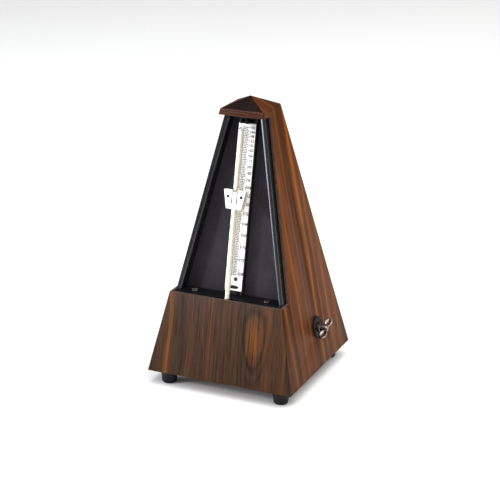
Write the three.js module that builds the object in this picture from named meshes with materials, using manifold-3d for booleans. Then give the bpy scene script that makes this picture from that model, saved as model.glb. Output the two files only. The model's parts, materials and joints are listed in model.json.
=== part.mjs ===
// A pyramid-cased clockwork metronome: a thin walnut case on four feet, an open
// front with a black dial surround, a swinging pendulum with a sliding weight,
// and the spring movement that drives it. Millimetres, +Z up, front towards -Y.
import * as THREE from 'three';
import { mergeVertices } from 'three/addons/utils/BufferGeometryUtils.js';
import { ConvexGeometry } from 'three/addons/geometries/ConvexGeometry.js';
import Module from 'manifold-3d';

const wasm = await Module();
wasm.setup();

// Case
const BASE_WIDTH = 118;
const BASE_DEPTH = 118;
const CASE_HEIGHT = 198.4;
const TOP_WIDTH = 34.9;
const TOP_DEPTH = 31.7;
const ROOF_RISE = 8.3;
const WALL = 2.2;
const FRONT_PANEL_HEIGHT = 61.5;
const FASCIA_HEIGHT = 4;
const NOTCH_SETBACK = 12.5;
const NOTCH_RADIUS = 5;
const BASE_PLATE = 5;
const GAP = 0.3;
const MITRE_GAP = 0.22;

// Feet
const FOOT_HEIGHT = 11.5;
const FOOT_TOP_RADIUS = 6.8;
const FOOT_TIP_RADIUS = 5.6;
const FOOT_INSET = 11.4;
const FOOT_SIDE_INSET = 12.6;
const FOOT_EDGE = 0.5;
const FOOT_EDGE_HEIGHT = 0.7;
const FOOT_RECESS_DEPTH = 2.4;
const SCREW_RADIUS = 1.3;
const SCREW_HEAD_RADIUS = 2.4;
const SCREW_HEAD = 1.3;
const SCREW_STOP = 2;

// Dial surround and what it carries; depths are measured square to the front
const RIM_DEPTH = 6.5;
const RIM_WIDTH = 3.5;
const TRAY_DEPTH = 17.5;
const TRAY_FLOOR = 1.8;
const LEDGE_DROP = 0.5;
const LEDGE_THICK = 2.2;
const LINER_SCREW_X = 29.5;
const LINER_SCREW_DEPTH = 10;
const SCALE_DEPTH = 12.8;
const SCALE_THICK = 0.8;
const SCALE_WIDTH = 13.8;
const SCALE_BOTTOM = 64.6;
const SCALE_TOP_DROP = 7.4;
const SCALE_HOLE_LENGTH = 9;
const SCALE_HOLE_HEIGHT = 2.6;
const RIB_MARGIN = 0.5;
const LINER_ROOF = 1.6;
const SLOT_MARGIN = 1;
const SLOT_BEHIND_ROD = 1.4;
const CATCH_WIDTH = 5.4;
const CATCH_HEIGHT = 3.4;
const CATCH_NOTCH = 1.6;
const CATCH_BEHIND_ROD = 1.2;
const CATCH_NOTCH_DEPTH = 4;
const SURROUND_SCREW_LENGTH = 7;

// Pendulum; heights along the rod are measured from its pivot
const PIVOT_BELOW_LEDGE = 13.7;
const SWING_DEG = 22;
const ROD_DEPTH = 3.2;
const ROD_THICK = 1;
const ROD_WIDTH = 3.5;
const ROD_TIP_DROP = 10;
const STAFF_RADIUS = 1;
const HUB_RADIUS = 3.5;
const BOB_RADIUS = 14;
const BOB_THICK = 11;
const BOB_DROP = 24;
const BOB_EDGE = 1;
const ROD_BELOW_BOB = 4;
const HUB_LENGTH = 2.1;
const PALLET_REACH = 4.4;
const PALLET_WIDTH = 2.4;
const PALLET_THICK = 0.8;
const PALLET_ANGLE_DEG = 35;

// Sliding weight
const WEIGHT_BELOW_TIP = 51.4;
const WEIGHT_HEIGHT = 14;
const WEIGHT_TOP_WIDTH = 17.7;
const WEIGHT_BOTTOM_WIDTH = 12.5;
const WEIGHT_PLATE = 1.2;
const WEIGHT_FRONT_DEPTH = 1;
const WEIGHT_BACK_DEPTH = 5.6;
const WEIGHT_RIVET_X = 5.3;
const WEIGHT_RIVET_DROP = 5;
const WEIGHT_RIVET_RADIUS = 0.9;
const WEIGHT_RAIL = 1.4;
const RIVET_PROUD = 0.3;
const TONGUE_WIDTH = 3;
const TONGUE_SLOT = 0.9;
const TONGUE_SLOT_LENGTH = 10;
const TONGUE_DROP = 1.6;

// Movement; its plates stand either side of the pendulum, and its places from
// front to back are measured from the foot of the front panel
const PLATE_THICK = 1.5;
const PLATE_FACE = 28.5;
const PLATE_REAR_CLEAR = 8;
const PLATE_FRONT_AT = 21;
const PLATE_CHAMFER = 3;
const TAB = 9;
const TAB_FRONT_AT = 41;
const TAB_REAR_INSET = 6;
const MOVEMENT_SCREW_LENGTH = 6.5;
const PILLAR_RADIUS = 2.1;
const SPIGOT_RADIUS = 1.2;
const PILLAR_INSET = 5;
const PILLAR_FRONT_AT = 35;
const UPPER_COCK_PILLAR_DEG = 47.9;
const COCK_PILLAR_CLEAR = 1.65;
const COCK_MARGIN = 1;
const PIVOT_RADIUS = 0.8;
const GEAR_MODULE = 0.6;
const GREAT_TEETH = 70;
const SECOND_TEETH = 40;
const PINION_TEETH = 10;
const BACKLASH = 0.2;
const GREAT_FACE = -26;
const GREAT_THICK = 2;
const SECOND_FACE = -19.5;
const SECOND_THICK = 1.5;
const COCK_FACE = -15.5;
const CROWN_DEPTH = 19.5;
const CROWN_RADIUS = 8.4;
const CROWN_TEETH = 15;
const CROWN_WALL = 1.2;
const CROWN_BACK = -12;
const CROWN_TIP = -4.9;
const CROWN_TOOTH = 2.7;
const CROWN_TOOTH_LEAN = 0.85;
const CROWN_FLOOR = 1.2;
const BRIDGE_DEPTH = 7;
const BRIDGE_THICK = 2.5;
const BRIDGE_HALF_HEIGHT = 6;
const REAR_COCK_DEPTH = 31;
const BOB_CLEAR = 1.2;
const PINION_MARGIN = 0.8;

// Winding work
const KEY_BEHIND_ESCAPE = 35.49;
const KEY_HEIGHT = 30;
const ARBOR_RADIUS = 2;
const RATCHET_TEETH = 24;
const RATCHET_RADIUS = 7;
const RATCHET_THICK = 1.5;
const RATCHET_TOOTH = 0.9;
const CLICK_BOSS = 1.8;
const CLICK_STUD = 0.8;
const SPRING_WIDTH = 13;
const SPRING_START = -5.5;
const SPRING_STRIP = 0.5;
const SPRING_INNER = 4;
const SPRING_OUTER = 16.5;
const SPRING_TURNS = 6;
const ESCUTCHEON_RADIUS = 8.2;
const ESCUTCHEON_THICK = 1.4;
const ESCUTCHEON_EDGE = 0.5;
const KEY_REACH = 10.4;
const KEY_BARREL_RADIUS = 3;
const KEY_WING_LENGTH = 9.2;
const KEY_WING_WIDTH = 6.4;
const KEY_WING_THICK = 1.8;
const KEY_WING_FROM_AXIS = 1.2;
const KEY_END = 1.4;
const KEY_EDGE = 0.8;
const KEY_SOCKET = 4.5;
const KEY_TURN_DEG = 29;

// Slopes of the case: how far each face moves in for every millimetre of height
const FRONT_SLOPE = (BASE_DEPTH - TOP_DEPTH) / 2 / CASE_HEIGHT;
const SIDE_SLOPE = (BASE_WIDTH - TOP_WIDTH) / 2 / CASE_HEIGHT;
const FRONT_LEAN = Math.atan(FRONT_SLOPE);
const SIDE_LEAN = Math.atan(SIDE_SLOPE);
const WALL_X = WALL / Math.cos(SIDE_LEAN);
const WALL_Y = WALL / Math.cos(FRONT_LEAN);
const FASCIA_BOTTOM = CASE_HEIGHT - FASCIA_HEIGHT;
const LEDGE_TOP = FRONT_PANEL_HEIGHT - LEDGE_DROP;
const FRONT_Y = -BASE_DEPTH / 2;
const BOLT_HOLE = SCREW_RADIUS + GAP;
const PIVOT_HOLE = PIVOT_RADIUS + GAP;

// Heights are above the underside of the case; depths run back from its front face
const halfWidth = (height) => BASE_WIDTH / 2 - SIDE_SLOPE * height;
const halfDepth = (height) => BASE_DEPTH / 2 - FRONT_SLOPE * height;
const insideX = (height) => halfWidth(height) - WALL_X - GAP;
const behindFront = (height, depth) => depth / Math.cos(FRONT_LEAN) - halfDepth(height);

const ROD_BACK = ROD_DEPTH + ROD_THICK;
const ROD_MIDDLE = ROD_DEPTH + ROD_THICK / 2;
const slopeAt = (height, depth) => (height + depth * Math.sin(FRONT_LEAN)) / Math.cos(FRONT_LEAN);
const PIVOT = slopeAt(LEDGE_TOP - PIVOT_BELOW_LEDGE, ROD_MIDDLE);
const ROD_REACH = slopeAt(FASCIA_BOTTOM - ROD_TIP_DROP, ROD_MIDDLE) - PIVOT;
const fromSlope = (depth, slope) => ({
  y: FRONT_Y + slope * Math.sin(FRONT_LEAN) + depth * Math.cos(FRONT_LEAN),
  height: slope * Math.cos(FRONT_LEAN) - depth * Math.sin(FRONT_LEAN),
});

// The crown wheel stands behind the pallet staff, and the key's arbor behind that
const ESCAPE = fromSlope(CROWN_DEPTH, PIVOT);
const KEY_Y = ESCAPE.y + KEY_BEHIND_ESCAPE;
const PLATE_TOP = LEDGE_TOP - LEDGE_THICK - GAP;
const PLATE_LOW = BASE_PLATE + GAP;
const PLATE_FRONT = FRONT_Y + PLATE_FRONT_AT;
const PLATE_BACK = halfDepth(PLATE_TOP) - WALL_Y - PLATE_REAR_CLEAR;

// ---- Solids ---------------------------------------------------------------

function toSolid(geometry) {
  const bare = geometry.clone();
  bare.deleteAttribute('normal');
  bare.deleteAttribute('uv');
  const merged = mergeVertices(bare, 1e-4);
  const vertProperties = new Float32Array(merged.attributes.position.array);
  const triVerts = new Uint32Array(merged.index.array);
  return new wasm.Manifold(new wasm.Mesh({ numProp: 3, vertProperties, triVerts }));
}

function toGeometry(solid) {
  const mesh = solid.getMesh();
  const geometry = new THREE.BufferGeometry();
  geometry.setAttribute('position', new THREE.BufferAttribute(mesh.vertProperties, 3));
  geometry.setIndex(new THREE.BufferAttribute(mesh.triVerts, 1));
  geometry.computeVertexNormals();
  return geometry;
}

function join(...geometries) {
  return toGeometry(geometries.map(toSolid).reduce((whole, next) => whole.add(next)));
}

function cut(geometry, ...tools) {
  const whole = toSolid(geometry);
  return toGeometry(tools.map(toSolid).reduce((left, tool) => left.subtract(tool), whole));
}

// Convex solid between a ring of [x, y] corners at one height and another at a second
function between(ringAt, low, high) {
  const points = [low, high].flatMap((height) => (
    ringAt(height).map(([x, y]) => new THREE.Vector3(x, y, height))
  ));
  return new ConvexGeometry(points);
}

function extrude(shape, depth, start = 0, curveSegments = 8) {
  const geometry = new THREE.ExtrudeGeometry(shape, { depth, bevelEnabled: false, curveSegments });
  return geometry.translate(0, 0, start);
}

// Solid of a shape drawn across and up the slope, between two depths
function slab(shape, front, back, curveSegments) {
  return extrude(shape, back - front, -back, curveSegments);
}

function outline(points) {
  return new THREE.Shape(points.map(([x, y]) => new THREE.Vector2(x, y)));
}

function rectangle(left, bottom, right, top) {
  return outline([[left, bottom], [right, bottom], [right, top], [left, top]]);
}

// A strip between two distances out from the middle, on one side of it
function strip(side, inner, bottom, outer, top) {
  const [left, right] = [side * inner, side * outer].sort((a, b) => a - b);
  return rectangle(left, bottom, right, top);
}

function disc(radius, x = 0, y = 0) {
  const shape = new THREE.Shape();
  shape.absarc(x, y, radius, 0, 2 * Math.PI);
  return shape;
}

// Round bar along +Z from a list of [radius, z] steps, hollow when it has a bore
function turned(steps, segments = 16, bore = 0) {
  const first = steps[0][1];
  const last = steps[steps.length - 1][1];
  const profile = [[bore, first], ...steps, [bore, last], [bore, first]];
  const points = profile.map(([radius, z]) => new THREE.Vector2(radius, z));
  const closed = bore > 0 ? points : points.slice(0, -1);
  return new THREE.LatheGeometry(closed, segments).rotateX(Math.PI / 2);
}

// A cylinder tool along +Z
function drill(x, y, radius, start, length, segments = 12) {
  const tool = new THREE.CylinderGeometry(radius, radius, length, segments);
  return tool.rotateX(Math.PI / 2).translate(x, y, start + length / 2);
}

// ---- Scene helpers --------------------------------------------------------

const FINISHES = {
  walnut: [0x6b4630, 0.5, 0],
  darkWalnut: [0x3c2a22, 0.55, 0],
  fibreboard: [0x4d3b2e, 0.8, 0],
  blackPlastic: [0x17171a, 0.4, 0],
  rubber: [0x131315, 0.6, 0],
  printedPlate: [0xf0ead8, 0.45, 0.1],
  springSteel: [0xb9b2a4, 0.35, 1],
  nickel: [0xd5d4d0, 0.25, 1],
  brass: [0xb89352, 0.35, 1],
  steel: [0x8f9296, 0.4, 1],
  iron: [0x55565a, 0.6, 1],
};

function piece(parent, name, geometry, finish) {
  const [color, roughness, metalness] = FINISHES[finish];
  const material = new THREE.MeshStandardMaterial({ color, roughness, metalness });
  const mesh = new THREE.Mesh(geometry, material);
  mesh.name = name;
  parent.add(mesh);
  return mesh;
}

const metronome = new THREE.Group();

// The key stands out past the base on one side, so the frame's origin is under
// the middle of the whole width
const KEY_PANEL_X = halfWidth(KEY_HEIGHT);
const OVERHANG = Math.max(0, KEY_PANEL_X + KEY_REACH - BASE_WIDTH / 2);

// Upright work: x across, y back, z up from the underside of the case
const upright = new THREE.Group();
upright.position.set(-OVERHANG / 2, 0, FOOT_HEIGHT);
metronome.add(upright);

// Work on the leaning front: x across, y up the slope, z out of the front face
const leaning = new THREE.Group();
leaning.position.set(0, FRONT_Y, 0);
leaning.rotation.x = Math.PI / 2 - FRONT_LEAN;
upright.add(leaning);

// Work seen from the side: x and y of a shape are y and z of the case, z is its x
const X_AXIS = new THREE.Vector3(1, 0, 0);
const Y_AXIS = new THREE.Vector3(0, 1, 0);
const Z_AXIS = new THREE.Vector3(0, 0, 1);
const FROM_SIDE = new THREE.Matrix4().makeBasis(Y_AXIS, Z_AXIS, X_AXIS);
const TO_SIDE = FROM_SIDE.clone().invert();

const standUp = (geometry) => geometry.applyMatrix4(FROM_SIDE);

function arborGroup(y, height) {
  const group = new THREE.Group();
  group.quaternion.setFromRotationMatrix(FROM_SIDE);
  group.position.set(0, y, height);
  upright.add(group);
  return group;
}

// ---- Case -----------------------------------------------------------------

function frontRing(height) {
  const out = halfWidth(height) - MITRE_GAP;
  const front = -halfDepth(height);
  const back = front + WALL_Y;
  return [[-out, front], [out, front], [out - WALL_X, back], [WALL_X - out, back]];
}

function sideRing(side) {
  return (height) => {
    const out = halfWidth(height);
    const inner = out - WALL_X;
    const end = halfDepth(height) - MITRE_GAP;
    const corners = [[out, -end], [out, end], [inner, end - WALL_Y], [inner, WALL_Y - end]];
    return corners.map(([x, y]) => [side * x, y]);
  };
}

// The dial opening seen from the side: set back from the front, rounded at its top
function notchTool() {
  const far = -BASE_DEPTH;
  const top = new THREE.Vector2(behindFront(FASCIA_BOTTOM, NOTCH_SETBACK), FASCIA_BOTTOM);
  const shape = new THREE.Shape();
  shape.moveTo(far, FRONT_PANEL_HEIGHT);
  shape.lineTo(behindFront(FRONT_PANEL_HEIGHT, NOTCH_SETBACK), FRONT_PANEL_HEIGHT);
  shape.lineTo(top.x - NOTCH_RADIUS * FRONT_SLOPE, top.y - NOTCH_RADIUS);
  shape.quadraticCurveTo(top.x, top.y, top.x - NOTCH_RADIUS, top.y);
  shape.lineTo(far, FASCIA_BOTTOM);
  return standUp(extrude(shape, 2 * BASE_WIDTH, -BASE_WIDTH, 4));
}

function sidePanel(side) {
  return cut(between(sideRing(side), 0, CASE_HEIGHT), notchTool());
}

// A hole square to the right side panel, on the winding arbor
function keyHoleTool(radius, length) {
  const tool = new THREE.CylinderGeometry(radius, radius, length, 24);
  return tool.rotateZ(-Math.PI / 2 + SIDE_LEAN).translate(KEY_PANEL_X, KEY_Y, KEY_HEIGHT);
}

function roofCap() {
  const eave = CASE_HEIGHT + GAP;
  const corners = [[-1, -1], [1, -1], [1, 1], [-1, 1]].map(([x, y]) => (
    new THREE.Vector3(x * halfWidth(eave), y * halfDepth(eave), eave)
  ));
  const pyramid = new ConvexGeometry([...corners, new THREE.Vector3(0, 0, CASE_HEIGHT + ROOF_RISE)]);
  const plugRing = (height) => {
    const x = insideX(height);
    const front = WALL_Y - halfDepth(height) - GAP;
    const back = halfDepth(height) - WALL_Y - GAP;
    return [[-x, front], [x, front], [x, back], [-x, back]];
  };
  const plug = between(plugRing, FASCIA_BOTTOM, eave + GAP);
  return join(pyramid, plug, between(frontRing, FASCIA_BOTTOM, eave + GAP));
}

const FOOT_X = BASE_WIDTH / 2 - FOOT_SIDE_INSET;
const FOOT_Y = BASE_DEPTH / 2 - FOOT_INSET;
const FOOT_PLACES = [
  ['front_left', -FOOT_X, -FOOT_Y],
  ['front_right', FOOT_X, -FOOT_Y],
  ['rear_right', FOOT_X, FOOT_Y],
  ['rear_left', -FOOT_X, FOOT_Y],
];
const TAB_PLACES = [
  ['front_left', -1, FRONT_Y + TAB_FRONT_AT],
  ['front_right', 1, FRONT_Y + TAB_FRONT_AT],
  ['rear_right', 1, PLATE_BACK - TAB_REAR_INSET],
  ['rear_left', -1, PLATE_BACK - TAB_REAR_INSET],
];
const TAB_SCREW_X = PLATE_FACE + PLATE_THICK + TAB / 2;

function basePlate() {
  const ring = (height) => {
    const x = insideX(height);
    const y = halfDepth(height) - WALL_Y - GAP;
    return [[-x, -y], [x, -y], [x, y], [-x, y]];
  };
  const feet = FOOT_PLACES.map(([, x, y]) => drill(x, y, BOLT_HOLE, -1, BASE_PLATE + 2));
  const tabs = TAB_PLACES.map(([, side, y]) => (
    drill(side * TAB_SCREW_X, y, BOLT_HOLE, -1, BASE_PLATE + 2)
  ));
  return cut(between(ring, 0, BASE_PLATE), ...feet, ...tabs);
}

function foot() {
  const profile = [
    [BOLT_HOLE, FOOT_RECESS_DEPTH],
    [SCREW_HEAD_RADIUS + GAP, FOOT_RECESS_DEPTH],
    [SCREW_HEAD_RADIUS + GAP, 0],
    [FOOT_TIP_RADIUS - FOOT_EDGE, 0],
    [FOOT_TIP_RADIUS, FOOT_EDGE_HEIGHT],
    [FOOT_TOP_RADIUS, FOOT_HEIGHT - GAP],
    [BOLT_HOLE, FOOT_HEIGHT - GAP],
    [BOLT_HOLE, FOOT_RECESS_DEPTH],
  ];
  const points = profile.map(([radius, z]) => new THREE.Vector2(radius, z));
  return new THREE.LatheGeometry(points, 18).rotateX(Math.PI / 2);
}

// A cheese-head screw pointing up the +Z axis, its head's outer face at zero
function screw(length) {
  return turned([
    [SCREW_HEAD_RADIUS, 0],
    [SCREW_HEAD_RADIUS, SCREW_HEAD],
    [SCREW_RADIUS, SCREW_HEAD],
    [SCREW_RADIUS, length],
  ], 12);
}

function buildCase() {
  piece(upright, 'lower_front_panel', between(frontRing, 0, FRONT_PANEL_HEIGHT), 'walnut');
  piece(upright, 'left_side_panel', sidePanel(-1), 'walnut');
  const keyHole = keyHoleTool(KEY_BARREL_RADIUS + 2 * GAP, 4 * WALL);
  piece(upright, 'right_side_panel', cut(sidePanel(1), keyHole), 'walnut');
  const rearRing = (height) => frontRing(height).map(([x, y]) => [x, -y]);
  piece(upright, 'rear_panel', between(rearRing, 0, CASE_HEIGHT), 'walnut');
  piece(upright, 'roof_cap', roofCap(), 'darkWalnut');
  piece(upright, 'base_plate', basePlate(), 'fibreboard');
  for (const [name, x, y] of FOOT_PLACES) {
    piece(upright, `${name}_foot`, foot(), 'rubber').position.set(x, y, -FOOT_HEIGHT);
    const bolt = piece(upright, `${name}_foot_screw`, screw(FOOT_HEIGHT + BASE_PLATE - SCREW_STOP), 'steel');
    bolt.position.set(x, y, FOOT_RECESS_DEPTH - SCREW_HEAD - GAP - FOOT_HEIGHT);
  }
}

// ---- Dial surround --------------------------------------------------------

const LINER_TOP = FASCIA_BOTTOM - GAP;
const RIB_DEPTH = SCALE_DEPTH + SCALE_THICK + GAP;
const SLOT_REACH = (PIVOT_BELOW_LEDGE + LEDGE_THICK) * Math.tan(SWING_DEG * Math.PI / 180);
const SLOT_HALF = SLOT_REACH + ROD_WIDTH / 2 + SLOT_MARGIN;

// A slice of the surround between two depths and two distances in from its sides
function linerBlock(outerInset, innerInset, front, back, low, high, side) {
  const ring = (height) => [outerInset, innerInset].flatMap((inset) => (
    [front, back].map((depth) => [side * (insideX(height) - inset), behindFront(height, depth)])
  ));
  return between(ring, low, high);
}

function ribBlock() {
  const half = SCALE_WIDTH / 2 + RIB_MARGIN;
  const ring = (height) => [-half, half].flatMap((x) => (
    [RIB_DEPTH, TRAY_DEPTH + 1].map((depth) => [x, behindFront(height, depth)])
  ));
  return between(ring, LEDGE_TOP - 1, LINER_TOP - 1);
}

function crossBlock(front, back, low, high) {
  const ring = (height) => [-1, 1].flatMap((side) => (
    [front, back].map((depth) => [side * insideX(height), behindFront(height, depth)])
  ));
  return between(ring, low, high);
}

function ledgeSlot() {
  const front = behindFront(LEDGE_TOP - LEDGE_THICK, 0);
  const back = behindFront(LEDGE_TOP, ROD_BACK + SLOT_BEHIND_ROD);
  const block = new THREE.BoxGeometry(2 * SLOT_HALF, back - front, 4 * LEDGE_THICK);
  return block.translate(0, (front + back) / 2, LEDGE_TOP);
}

function dialSurround() {
  const back = TRAY_DEPTH + TRAY_FLOOR;
  const low = LEDGE_TOP - 1;
  const ledge = crossBlock(WALL + GAP, back, LEDGE_TOP - LEDGE_THICK, LEDGE_TOP);
  const floor = crossBlock(TRAY_DEPTH, back, low, LINER_TOP);
  const roof = crossBlock(RIM_DEPTH, back, LINER_TOP - LINER_ROOF, LINER_TOP);
  const walls = [-1, 1].map((side) => linerBlock(0, RIM_WIDTH, RIM_DEPTH, back, low, LINER_TOP, side));
  const whole = join(ledge, floor, roof, ...walls, ribBlock());
  const screwY = behindFront(LEDGE_TOP, LINER_SCREW_DEPTH);
  const holes = [-1, 1].map((side) => (
    drill(side * LINER_SCREW_X, screwY, BOLT_HOLE, LEDGE_TOP - 2 * LEDGE_THICK, 4 * LEDGE_THICK)
  ));
  return cut(whole, ledgeSlot(), ...holes);
}

function scalePlate() {
  const half = SCALE_WIDTH / 2;
  const low = slopeAt(SCALE_BOTTOM, SCALE_DEPTH);
  const top = slopeAt(FASCIA_BOTTOM - SCALE_TOP_DROP, SCALE_DEPTH);
  const shape = rectangle(-half, low, half, top);
  const hole = new THREE.Path();
  const across = SCALE_HOLE_LENGTH / 2;
  hole.absellipse(0, low + SCALE_HOLE_HEIGHT, across, SCALE_HOLE_HEIGHT / 2, 0, 2 * Math.PI);
  shape.holes.push(hole);
  return slab(shape, SCALE_DEPTH, SCALE_DEPTH + SCALE_THICK);
}

// A block under the fascia with a notch for the rod's tip, open to the front
function pendulumCatch() {
  const top = slopeAt(LINER_TOP - LINER_ROOF - GAP, ROD_DEPTH);
  const low = top - CATCH_HEIGHT;
  const block = rectangle(-CATCH_WIDTH / 2, low, CATCH_WIDTH / 2, top);
  const notch = rectangle(-CATCH_NOTCH, low - 1, CATCH_NOTCH, top + 1);
  const front = ROD_BACK + CATCH_BEHIND_ROD;
  const body = slab(block, front, SCALE_DEPTH - GAP);
  return cut(body, slab(notch, front - 1, front + CATCH_NOTCH_DEPTH));
}

function buildDial() {
  piece(upright, 'dial_surround', dialSurround(), 'blackPlastic');
  piece(leaning, 'scale_plate', scalePlate(), 'printedPlate');
  piece(leaning, 'pendulum_catch', pendulumCatch(), 'blackPlastic');
  const screwY = behindFront(LEDGE_TOP, LINER_SCREW_DEPTH);
  for (const [name, side] of [['left', -1], ['right', 1]]) {
    const bolt = screw(SURROUND_SCREW_LENGTH).rotateX(Math.PI);
    const fixing = piece(upright, `${name}_surround_screw`, bolt, 'nickel');
    fixing.position.set(side * LINER_SCREW_X, screwY, LEDGE_TOP + GAP + SCREW_HEAD);
  }
}

// ---- Pendulum -------------------------------------------------------------

const BOB_BACK = ROD_BACK + GAP + BOB_THICK;
const FIT = STAFF_RADIUS + GAP;

function pendulumRod() {
  const half = ROD_WIDTH / 2;
  const shape = rectangle(-half, -BOB_DROP - ROD_BELOW_BOB, half, ROD_REACH);
  shape.holes.push(disc(FIT), disc(FIT, 0, -BOB_DROP));
  return slab(shape, ROD_DEPTH, ROD_BACK, 6);
}

function bob() {
  return turned([
    [BOB_RADIUS - BOB_EDGE, -BOB_BACK],
    [BOB_RADIUS, BOB_EDGE - BOB_BACK],
    [BOB_RADIUS, -ROD_BACK - GAP - BOB_EDGE],
    [BOB_RADIUS - BOB_EDGE, -ROD_BACK - GAP],
    [STAFF_RADIUS, -ROD_BACK - GAP],
    [STAFF_RADIUS, -ROD_DEPTH],
  ], 28).translate(0, -BOB_DROP, 0);
}

const STAFF_BACK = REAR_COCK_DEPTH + BRIDGE_THICK;
const CROWN_MEAN = CROWN_RADIUS - CROWN_WALL / 2;

// The staff crosses the face of the escape wheel; its two pallets stand off one
// edge each, one above the centre line and one below
function palletStaff() {
  const staff = turned([[STAFF_RADIUS, -STAFF_BACK], [STAFF_RADIUS, -ROD_DEPTH]], 12);
  const pallets = [-1, 1].map((end) => {
    const middle = CROWN_DEPTH + end * CROWN_MEAN;
    const shape = rectangle(-PALLET_REACH, -PALLET_THICK / 2, 0, PALLET_THICK / 2);
    const flag = slab(shape, middle - PALLET_WIDTH / 2, middle + PALLET_WIDTH / 2);
    return flag.rotateZ(end * PALLET_ANGLE_DEG * Math.PI / 180);
  });
  return join(staff, ...pallets);
}

function hub() {
  const ring = turned([[HUB_RADIUS, 0], [HUB_RADIUS, HUB_LENGTH]], 16, FIT);
  return ring.translate(0, 0, -ROD_BACK - GAP - HUB_LENGTH);
}

function weightOutline() {
  const half = WEIGHT_HEIGHT / 2;
  const low = WEIGHT_BOTTOM_WIDTH / 2;
  const high = WEIGHT_TOP_WIDTH / 2;
  return outline([[-low, -half], [low, -half], [high, half], [-high, half]]);
}

function rivetHoles() {
  const y = WEIGHT_HEIGHT / 2 - WEIGHT_RIVET_DROP;
  return [-1, 1].map((side) => disc(WEIGHT_RIVET_RADIUS + GAP, side * WEIGHT_RIVET_X, y));
}

// Two slots from the top edge leave a tongue that presses on the rod
function weightFront() {
  const shape = weightOutline();
  shape.holes.push(...rivetHoles());
  const plate = slab(shape, WEIGHT_FRONT_DEPTH, WEIGHT_FRONT_DEPTH + WEIGHT_PLATE, 5);
  const top = WEIGHT_HEIGHT / 2;
  const inner = TONGUE_WIDTH / 2;
  const outer = inner + TONGUE_SLOT;
  const tools = [-1, 1].map((side) => strip(side, inner, top - TONGUE_SLOT_LENGTH, outer, top + 1));
  tools.push(rectangle(-outer, top - TONGUE_DROP, outer, top + 1));
  return cut(plate, ...tools.map((tool) => slab(tool, 0, WEIGHT_BACK_DEPTH)));
}

// The back plate has two rails that run either side of the rod
function weightBack() {
  const shape = weightOutline();
  shape.holes.push(...rivetHoles());
  const back = slab(shape, ROD_BACK + GAP, WEIGHT_BACK_DEPTH, 5);
  const half = WEIGHT_HEIGHT / 2;
  const inner = ROD_WIDTH / 2 + GAP;
  const front = WEIGHT_FRONT_DEPTH + WEIGHT_PLATE + GAP;
  const rails = [-1, 1].map((side) => (
    slab(strip(side, inner, -half, inner + WEIGHT_RAIL, half), front, WEIGHT_BACK_DEPTH)
  ));
  return join(back, ...rails);
}

function weightRivet() {
  const ends = [-WEIGHT_BACK_DEPTH - RIVET_PROUD, RIVET_PROUD - WEIGHT_FRONT_DEPTH];
  return turned(ends.map((z) => [WEIGHT_RIVET_RADIUS, z]), 12);
}

function buildPendulum() {
  const swing = new THREE.Group();
  swing.position.y = PIVOT;
  leaning.add(swing);
  piece(swing, 'pendulum_rod', pendulumRod(), 'springSteel');
  piece(swing, 'pendulum_bob', bob(), 'iron');
  piece(swing, 'pallet_staff', palletStaff(), 'steel');
  piece(swing, 'pendulum_hub', hub(), 'brass');
  const weight = new THREE.Group();
  weight.position.y = ROD_REACH - WEIGHT_BELOW_TIP;
  swing.add(weight);
  piece(weight, 'weight_front_plate', weightFront(), 'nickel');
  piece(weight, 'weight_back_plate', weightBack(), 'nickel');
  for (const [name, side] of [['left', -1], ['right', 1]]) {
    const rivet = piece(weight, `weight_${name}_rivet`, weightRivet(), 'steel');
    rivet.position.set(side * WEIGHT_RIVET_X, WEIGHT_HEIGHT / 2 - WEIGHT_RIVET_DROP, 0);
  }
}

// ---- Movement frame -------------------------------------------------------

// The second arbor sits where both gear pairs mesh
const GREAT_PITCH = GREAT_TEETH * GEAR_MODULE / 2;
const SECOND_PITCH = SECOND_TEETH * GEAR_MODULE / 2;
const PINION_PITCH = PINION_TEETH * GEAR_MODULE / 2;

function secondPlace() {
  const first = GREAT_PITCH + PINION_PITCH;
  const next = SECOND_PITCH + PINION_PITCH;
  const span = Math.hypot(ESCAPE.y - KEY_Y, ESCAPE.height - KEY_HEIGHT);
  const along = (first ** 2 - next ** 2 + span ** 2) / (2 * span);
  const aside = Math.sqrt(first ** 2 - along ** 2);
  const dy = (ESCAPE.y - KEY_Y) / span;
  const dz = (ESCAPE.height - KEY_HEIGHT) / span;
  return { y: KEY_Y + along * dy - aside * dz, height: KEY_HEIGHT + along * dz + aside * dy };
}
const SECOND = secondPlace();

const PILLAR_PLACES = [
  ['top_rear', PLATE_BACK - 9, PLATE_TOP - 7],
  ['bottom_rear', PLATE_BACK - 7, PLATE_LOW + PILLAR_INSET],
  ['bottom_front', FRONT_Y + PILLAR_FRONT_AT, PLATE_LOW + PILLAR_INSET],
];

// The cock's pillars stand clear of the second wheel and the crown wheel, and the
// lower one is as far forward as the swing of the bob allows
const pillarClearOf = (wheelRadius) => wheelRadius + PILLAR_RADIUS + COCK_PILLAR_CLEAR;
const EDGE_DEPTH = BOB_BACK + BOB_CLEAR;

function lowerCockPillar() {
  const depth = EDGE_DEPTH + PILLAR_RADIUS + COCK_MARGIN;
  const arborDepth = (SECOND.y + halfDepth(SECOND.height)) * Math.cos(FRONT_LEAN);
  const away = pillarClearOf(SECOND_PITCH + GEAR_MODULE);
  const drop = Math.sqrt(away ** 2 - (arborDepth - depth) ** 2);
  return fromSlope(depth, slopeAt(SECOND.height, arborDepth) - drop);
}

function upperCockPillar() {
  const away = pillarClearOf(CROWN_RADIUS);
  const bearing = UPPER_COCK_PILLAR_DEG * Math.PI / 180;
  return { y: ESCAPE.y + away * Math.cos(bearing), height: ESCAPE.height + away * Math.sin(bearing) };
}
const LOWER_COCK = lowerCockPillar();
const UPPER_COCK = upperCockPillar();
const COCK_PILLARS = [
  ['lower', LOWER_COCK.y, LOWER_COCK.height],
  ['upper', UPPER_COCK.y, UPPER_COCK.height],
];

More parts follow.
